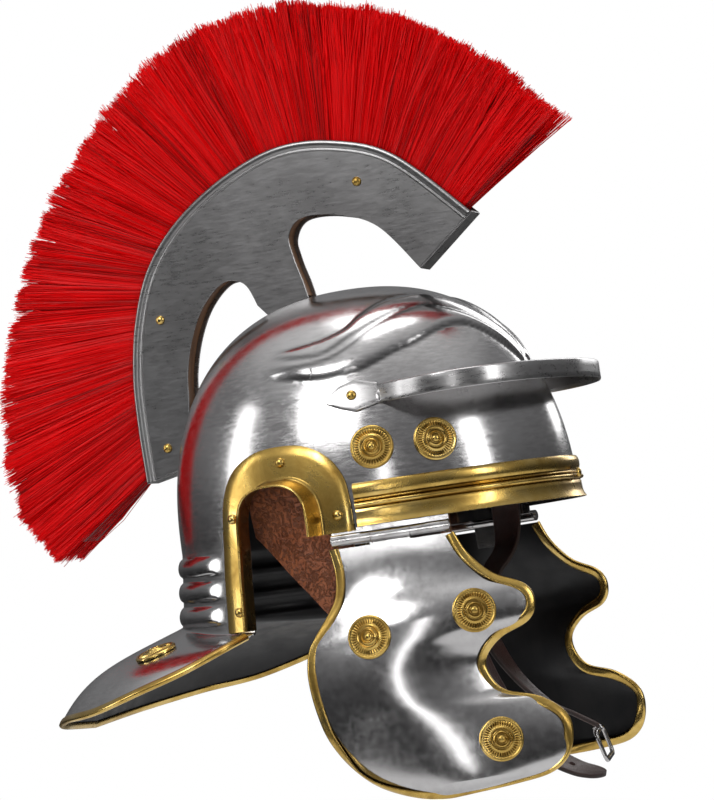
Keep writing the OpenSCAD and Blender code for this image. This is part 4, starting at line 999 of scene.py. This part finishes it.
def make_cheeks():
    rows, cols = 111, 61
    U, V = np.meshgrid(np.linspace(0, 1, rows), np.linspace(0, 1, cols), indexing="ij")
    P = cheek_point(U, V)
    verts = P.reshape(-1, 3)
    faces = grid_faces(rows, cols)
    nrm = normals_of(verts, faces)
    if np.sum(nrm @ CHEEK_N) < 0:
        faces, nrm = faces[:, ::-1], -nrm
    v, f, which = shell(verts, faces, SHEET)
    N = nrm.reshape(rows, cols, 3)
    k = 2
    edge = np.concatenate([P[:, 0], P[-1, 1:-1], P[::-1, -1]])
    norm = np.concatenate([N[:, k], N[-1 - k, 1:-1], N[::-1, -1 - k]])
    edge = relax(even(edge, 300), 3)
    norm = unit(relax(even(norm, 300), 14))
    run = runs(edge)
    norm = unit(norm - run * np.sum(norm * run, 1, keepdims=True))
    w = np.cross(norm, run)
    middle = cheek_point(0.5, 0.5)
    if np.sum(w[20] * (middle - edge[20])) < 0:
        w = -w
    bv, bf, btone = binding(edge, norm, w, 4.3)
    for side, mirror in SIDES:
        body = f"cheek_{side}"
        piece(f"cheek_sheet_{side}", v, f, [STEEL_CHEEK, BLACK, STEEL_CHEEK], body,
              [f"cheek_plate_{side}"], which, mirror=mirror, sharp=60)
        piece(f"cheek_binding_{side}", bv, bf, BRASS, body, [f"cheek_trim_{side}"],
              tone=btone, mirror=mirror, sharp=60)
        for i, (a, b) in enumerate(CHEEK_SPOTS, 1):
            p = cheek_point(a, b)
            n = unit(np.cross(cheek_point(a, b + 0.06) - cheek_point(a, b - 0.06),
                              cheek_point(a + 0.03, b) - cheek_point(a - 0.03, b)))
            n = -n if n @ CHEEK_N < 0 else n
            rosette(f"cheek_rosette_{side}_{i}", body, p + n * 0.1, n, mirror)


def make_rosettes():
    for side, mirror in SIDES:
        for i, (y, z) in enumerate(((-33.8, 42.4), (-66.5, 41.7)), 1):
            rosette(f"bowl_rosette_{side}_{i}", "root", wall_point(y, z, 0.0),
                    wall_normal(np.array(y), np.array(z)), mirror)
    for node, f, s, u in (("neck_rosette_right", 0.5, -1.0, 0.45), ("neck_rosette_back", 1.0, 1.0, 0.5),
                          ("neck_rosette_left", 0.5, 1.0, 0.45)):
        def at(df, du):
            g = np.array(f + df)
            side = np.array(s)
            if g > 1:
                g, side = 2 - g, -side
            a = mix(EAR_BACK, np.pi, g) if side > 0 else 2 * np.pi - mix(EAR_BACK, np.pi, g)
            return guard_point(np.array(a), g, side, np.array(u + du))
        n = np.cross(at(0.03, 0) - at(-0.03, 0), at(0, 0.06) - at(0, -0.06))
        n = unit(-n if n[2] < 0 else n)
        rosette(node, "root", at(0, 0) + n * 0.2, n)


# ---- lining, straps and buckle ---------------------------------------------

LINING_EDGE = [(-14, -52), (-8, -60), (0, -52), (8, -43), (16, -33), (24, -23), (32, -13), (40, -3), (45, 3)]
LINING_TOP, LINING_T = 46.0, 2.0


def make_linings():
    cols, rows = 61, 71
    e = curve(LINING_EDGE, np.linspace(0, 1, cols))
    y = np.broadcast_to(e[:, 0], (rows, cols))
    z = mix(LINING_TOP, e[:, 1][None], np.linspace(0, 1, rows)[:, None])
    r = np.random.default_rng(21)
    crease = np.zeros_like(z)
    for _ in range(16):
        a, k, ph = r.uniform(0, math.pi), r.uniform(0.10, 0.32), r.uniform(0, 6.3)
        crease += np.sin((y * math.cos(a) + z * math.sin(a)) * k + ph + 1.5 * np.sin(y * 0.07 + ph)) * 0.14
    layer = -SHEET - 2 * SEAT - 6 * ease((LINING_TOP - 10 - z) / 40) - 0.3 - crease * ease((LINING_TOP - z) / 20)
    verts = np.stack([-wall_x(y, np.maximum(z, 0), layer), y, z], -1).reshape(-1, 3)
    faces = grid_faces(rows, cols)
    if np.sum(normals_of(verts, faces)[:, 0]) > 0:
        faces = faces[:, ::-1]
    v, f, which = shell(verts, faces, LINING_T)
    for side, mirror in SIDES:
        piece(f"lining_flap_{side}", v, f, [RUST, RUST, RUST_EDGE], "root",
              [f"lining_{side}"], which, mirror=mirror, sharp=50)


STRAP_W, STRAP_T, LEAF_IN, LEAF_T, LEAF_GAP, STRAP_S = 19.0, 2.6, 5.5, 1.0, 0.8, 50.0
START = HINGE_AT + ALONG * STRAP_S - OUTWARD * (LEAF_IN + LEAF_T + LEAF_GAP + STRAP_T / 2)
X, Y = np.array([1.0, 0, 0]), ALONG
STRAP_RIGHT = [((0, 0, 14), Y), ((0, 0, 2), Y), ((6, 0, -16), Y + [0.3, 0, 0]), ((17, -3, -38), (1, -0.9, 0)),
               ((29, -7, -64), (1, -0.5, 0.3)), ((41, -12, -90), (1, -0.3, 0.4)), ((52, -20, -114), (1, -0.2, 0.4)),
               ((59, -33, -133), (1, -0.15, 0.3)), ((63, -49, -145), (1, -0.1, 0.2)), ((66, -64, -150), (1, -0.1, 0.1))]
STRAP_LEFT = [((0, 0, 14), Y), ((0, 0, 2), Y), ((6, 1, -15), Y + [0.3, 0, 0]), ((26, 6, -30), (1, -0.6, -0.4)),
              ((42, 8, -48), (1, -0.2, -0.5)), ((54, 4, -68), (1, 0, -0.3)), ((57, -8, -90), (1, 0, 0)),
              ((52, -22, -108), (1, 0, 0.1)), ((45, -36, -118), (1, 0, 0.2)), ((40, -47, -126), (1, 0, 0.2))]


def strap_frames(route, steps):
    place = START + np.array([p for p, _ in route], float)
    lie = np.array([w for _, w in route], float)
    f = np.linspace(0, 1, steps + 1)
    c = curve(place, f)
    run = runs(c)
    w = curve(lie, f)
    w = unit(w - run * np.sum(w * run, 1, keepdims=True))
    return c, run, w, unit(np.cross(run, w))


def length_left(c):
    """The length from each point of a path to its end."""
    return np.concatenate([[0], np.cumsum(np.linalg.norm(np.diff(c[::-1], axis=0), axis=1))])[::-1]


HOLES, HOLE_R = (20, 36, 52, 68), 1.9        # from the strap's tip


def strap_mesh(c, run, w, n, tip):
    """A flat strap with softened edges. Its end is rounded where tip is true."""
    left = length_left(c)
    rings = []
    for i in range(len(c)):
        half = STRAP_W / 2
        if tip:
            k = min(left[i] / (STRAP_W * 0.45), 1.0)
            half *= max(math.sqrt(max(1 - (1 - k) ** 2, 0)), 0.12)
        t = STRAP_T / 2
        shape = [(-1, 0), (-1, 0.55), (-0.95, 0.92), (-0.86, 1.0), (-0.8, 0.86), (-0.3, 0.95), (0.3, 0.95),
                 (0.8, 0.86), (0.86, 1.0), (0.95, 0.92), (1, 0.55)]
        shape += [(-a, -b) for a, b in shape]
        rings.append([c[i] + w[i] * a * half + n[i] * b * t for a, b in shape])
    verts, faces = tube(np.array(rings))
    m = len(shape)
    which = [1 if (i % m) in (0, 10, 11, 21) else 0 for i in range((len(c) - 1) * m)] + [1, 1]
    return verts, outward_faces(verts, faces), which


def drill(ob, places, radius):
    """Cuts round holes through a piece at each (point, axis)."""
    v, f = revolve([(0, -4), (radius, -4), (radius, 4), (0, 4)], 24)
    verts, faces = joined([(stand_on(v, p, n), f) for p, n in places])
    me = bpy.data.meshes.new("punch")
    me.from_pydata((verts * MM).tolist(), [], faces)
    punch = bpy.data.objects.new("punch", me)
    bpy.context.scene.collection.objects.link(punch)
    cut = ob.modifiers.new("holes", "BOOLEAN")
    cut.operation, cut.object, cut.solver = "DIFFERENCE", punch, "EXACT"
    seen = ob.evaluated_get(bpy.context.evaluated_depsgraph_get())
    holed = bpy.data.meshes.new_from_object(seen)
    ob.modifiers.clear()
    ob.data = holed
    bpy.data.objects.remove(punch)


def make_straps():
    c, run, w, n = strap_frames(STRAP_RIGHT, 150)
    v, f, which = strap_mesh(c, run, w, n, True)
    ob = piece("chin_strap_right", v, f, [STRAP, STRAP_EDGE], "root", ["strap_right"], which,
               sharp=60)
    left = length_left(c)
    holes = [int(np.argmin(np.abs(left - d))) for d in HOLES]
    drill(ob, [(c[i], n[i]) for i in holes], HOLE_R)
    c, run, w, n = strap_frames(STRAP_LEFT, 150)
    v, f, which = strap_mesh(c, run, w, n, False)
    piece("chin_strap_left", v, f, [STRAP, STRAP_EDGE], "root", ["strap_left"], which,
          mirror=True, sharp=60)


BUCKLE_W, BUCKLE_L, BUCKLE_BAR = STRAP_W + 6, 20.0, 3.0


def make_buckle():
    end = START + np.array(STRAP_LEFT[-1][0], float)
    run = unit([-0.15, -0.22, -1])
    wide = np.array(STRAP_LEFT[-1][1], float)
    wide = unit(wide - run * (wide @ run))
    face = -np.cross(run, wide)
    place = lambda x, y, z: end + wide * x + run * (CLEAR + STRAP_T / 2 + y) + face * z
    r, w2, l0, l1 = 3.0, (BUCKLE_W - BUCKLE_BAR) / 2, BUCKLE_BAR / 2, BUCKLE_L - BUCKLE_BAR / 2
    path = []
    for cx, cy, a0 in ((w2 - r, l1 - r, 0), (-w2 + r, l1 - r, 90), (-w2 + r, l0 + r, 180), (w2 - r, l0 + r, 270)):
        path += [(cx + r * math.cos(a), cy + r * math.sin(a)) for a in np.radians(np.linspace(a0, a0 + 90, 9))]
    path = np.array(path)
    m = len(path)
    rings = []
    for i in range(m):
        t = unit(path[(i + 1) % m] - path[i - 1])
        o = np.array([t[1], -t[0]])
        ring = []
        for g in np.linspace(0, TURN, 14, endpoint=False):
            a, b = 1.5 * spow(math.cos(g), 0.75), 1.2 * spow(math.sin(g), 0.75)
            ring.append(place(*(path[i] + o * a), b))
        rings.append(ring)
    v, f = tube(np.array(rings), closed_path=True)
    piece("buckle_loop", v, outward_faces(v, f), CHROME, "root", ["buckle_frame"],
          mirror=True, sharp=60)
    prong = [(0, 1.5, -1.9), (0, -0.3, -1.2), (0, -0.9, 0.4), (0, 0.0, 2.2), (0, 2.5, 2.9), (0, 8, 2.8),
             (0, 14, 2.6), (0, 18, 2.5), (0, 21, 2.4)]
    c = np.array([place(*p) for p in curve(prong, np.linspace(0, 1, 60))])
    t = runs(c)
    rings = []
    for i in range(len(c)):
        e = unit(np.cross(t[i], wide))
        rad = 1.0 if i < 54 else 1.0 - 0.09 * (i - 53)
        rings.append([c[i] + rad * (wide * math.cos(g) + e * math.sin(g))
                      for g in np.linspace(0, TURN, 12, endpoint=False)])
    v, f = tube(np.array(rings))
    piece("buckle_tongue", v, outward_faces(v, f), CHROME, "root", ["buckle_prong"],
          mirror=True, sharp=60)


# ---- CAD pieces that stay ---------------------------------------------------------------

def plain_nodes():
    """The CAD pieces whose shape is right: they only get a better material."""
    hinge = [f"{n}_{side}" for n in ("hinge_leaf", "hinge_pin", "cheek_leaf") for side, _ in SIDES]
    for name, mat in [("crest_core", WOOD)] + [(n, CHROME) for n in hinge]:
        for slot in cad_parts[name].material_slots:
            slot.material = mat


# ---- scene -----------------------------------------------------------------

FLOOR_R, FLOOR_Z = 1.5, -0.6                 # metres
LIGHT_TARGET = (0, 0, 0.06)
# Each light: name, place, size and power in watts.
LIGHTS = [("key", (-1.5, 0.35, 1.1), (0.75, 0.75), 14), ("left_strip", (-0.9, 1.6, 0.5), (0.35, 1.4), 7),
          ("front_strip", (-0.75, -1.7, 0.55), (0.4, 1.2), 9), ("slim_strip", (-1.75, -0.35, 0.1), (0.08, 0.9), 2.0),
          ("top", (0.1, -0.1, 1.7), (0.8, 0.8), 8), ("far", (1.5, -0.5, 0.8), (0.5, 1.2), 7)]
# The room that the metal reflects: share of the way from straight down to straight up, and grey.
ROOM = ((0.36, 0.02), (0.5, 0.06), (0.6, 0.17), (0.8, 0.3), (1.0, 0.2))
# The camera: lens in mm, its right, up and back directions, and its place in metres.
LENS = 131.1
CAM_X, CAM_Y, CAM_Z = (0.3322, -0.9317, -0.1469), (-0.0075, -0.1583, 0.9873), (-0.9432, -0.3269, -0.0596)
CAM_AT = (-1.6034, -0.5528, -0.0263)


def area(name, at, look, size, power):
    data = bpy.data.lights.new(name, "AREA")
    data.shape = "RECTANGLE"
    data.size, data.size_y = size
    data.energy = power
    ob = bpy.data.objects.new(name, data)
    ob.location = at
    ob.rotation_euler = (Vector(look) - Vector(at)).to_track_quat("-Z", "Y").to_euler()
    bpy.context.scene.collection.objects.link(ob)


def make_scene():
    scene = bpy.context.scene
    world = bpy.data.worlds.new("studio")
    world.use_nodes = True
    scene.world = world
    nt = world.node_tree
    nt.nodes.clear()
    out = nt.nodes.new("ShaderNodeOutputWorld")
    white, room = nt.nodes.new("ShaderNodeBackground"), nt.nodes.new("ShaderNodeBackground")
    pick = nt.nodes.new("ShaderNodeMixShader")
    white.inputs["Color"].default_value = (1, 1, 1, 1)
    white.inputs["Strength"].default_value = 1.0
    room.inputs["Strength"].default_value = 1.0
    coord = nt.nodes.new("ShaderNodeTexCoord")
    split = nt.nodes.new("ShaderNodeSeparateXYZ")
    sky = nt.nodes.new("ShaderNodeValToRGB")
    e = sky.color_ramp.elements
    for at, value in ROOM:
        stop = e.new(at)
        stop.color = (value, value, value * 1.02, 1)
    e.remove(e[0])
    e.remove(e[-1])
    half = nt.nodes.new("ShaderNodeMapRange")
    half.inputs["From Min"].default_value = -1.0
    nt.links.new(coord.outputs["Generated"], split.inputs[0])
    nt.links.new(split.outputs["Z"], half.inputs["Value"])
    nt.links.new(half.outputs["Result"], sky.inputs["Fac"])
    nt.links.new(sky.outputs["Color"], room.inputs["Color"])
    ray = nt.nodes.new("ShaderNodeLightPath")
    nt.links.new(ray.outputs["Is Camera Ray"], pick.inputs["Fac"])
    nt.links.new(room.outputs["Background"], pick.inputs[1])
    nt.links.new(white.outputs["Background"], pick.inputs[2])
    nt.links.new(pick.outputs["Shader"], out.inputs["Surface"])
    # The floor lies well below the helmet, which is held up as on a head.
    n = 96
    ring = [(FLOOR_R * math.cos(TURN * k / n), FLOOR_R * math.sin(TURN * k / n), FLOOR_Z) for k in range(n)]
    me = bpy.data.meshes.new("floor")
    me.from_pydata(ring, [], [list(range(n))])
    floor = bpy.data.objects.new("floor", me)
    m = Maker("pale_floor")
    m.colour(m.ramp(m.noise(3, 2), [(0.3, (0.86, 0.86, 0.86)), (0.7, (0.9, 0.9, 0.9))]))
    m.set(Roughness=0.8)
    me.materials.append(m.mat)
    scene.collection.objects.link(floor)
    for name, at, size, power in LIGHTS:
        area(name, at, LIGHT_TARGET, size, power)
    cam = bpy.data.cameras.new("camera")
    cam.lens, cam.sensor_width, cam.sensor_fit = LENS, 36.0, "AUTO"
    cam.clip_start, cam.clip_end = 0.05, 50
    ob = bpy.data.objects.new("camera", cam)
    ob.matrix_world = Matrix((*zip(CAM_X, CAM_Y, CAM_Z, CAM_AT), (0, 0, 0, 1)))
    scene.collection.objects.link(ob)
    scene.camera = ob
    scene.view_settings.view_transform = "Standard"


make_scene()
make_bowl()
make_band()
make_peak()
make_ear_guards()
make_rivets()
make_rosettes()
make_neck_trim()
make_crest()
make_plume_shade_core()
for k in range(BRISTLE_PIECES):
    make_bristles(f"plume_bristles_{k + 1}", BRISTLES, 100 + k)
make_cheeks()
make_linings()
make_straps()
make_buckle()
plain_nodes()
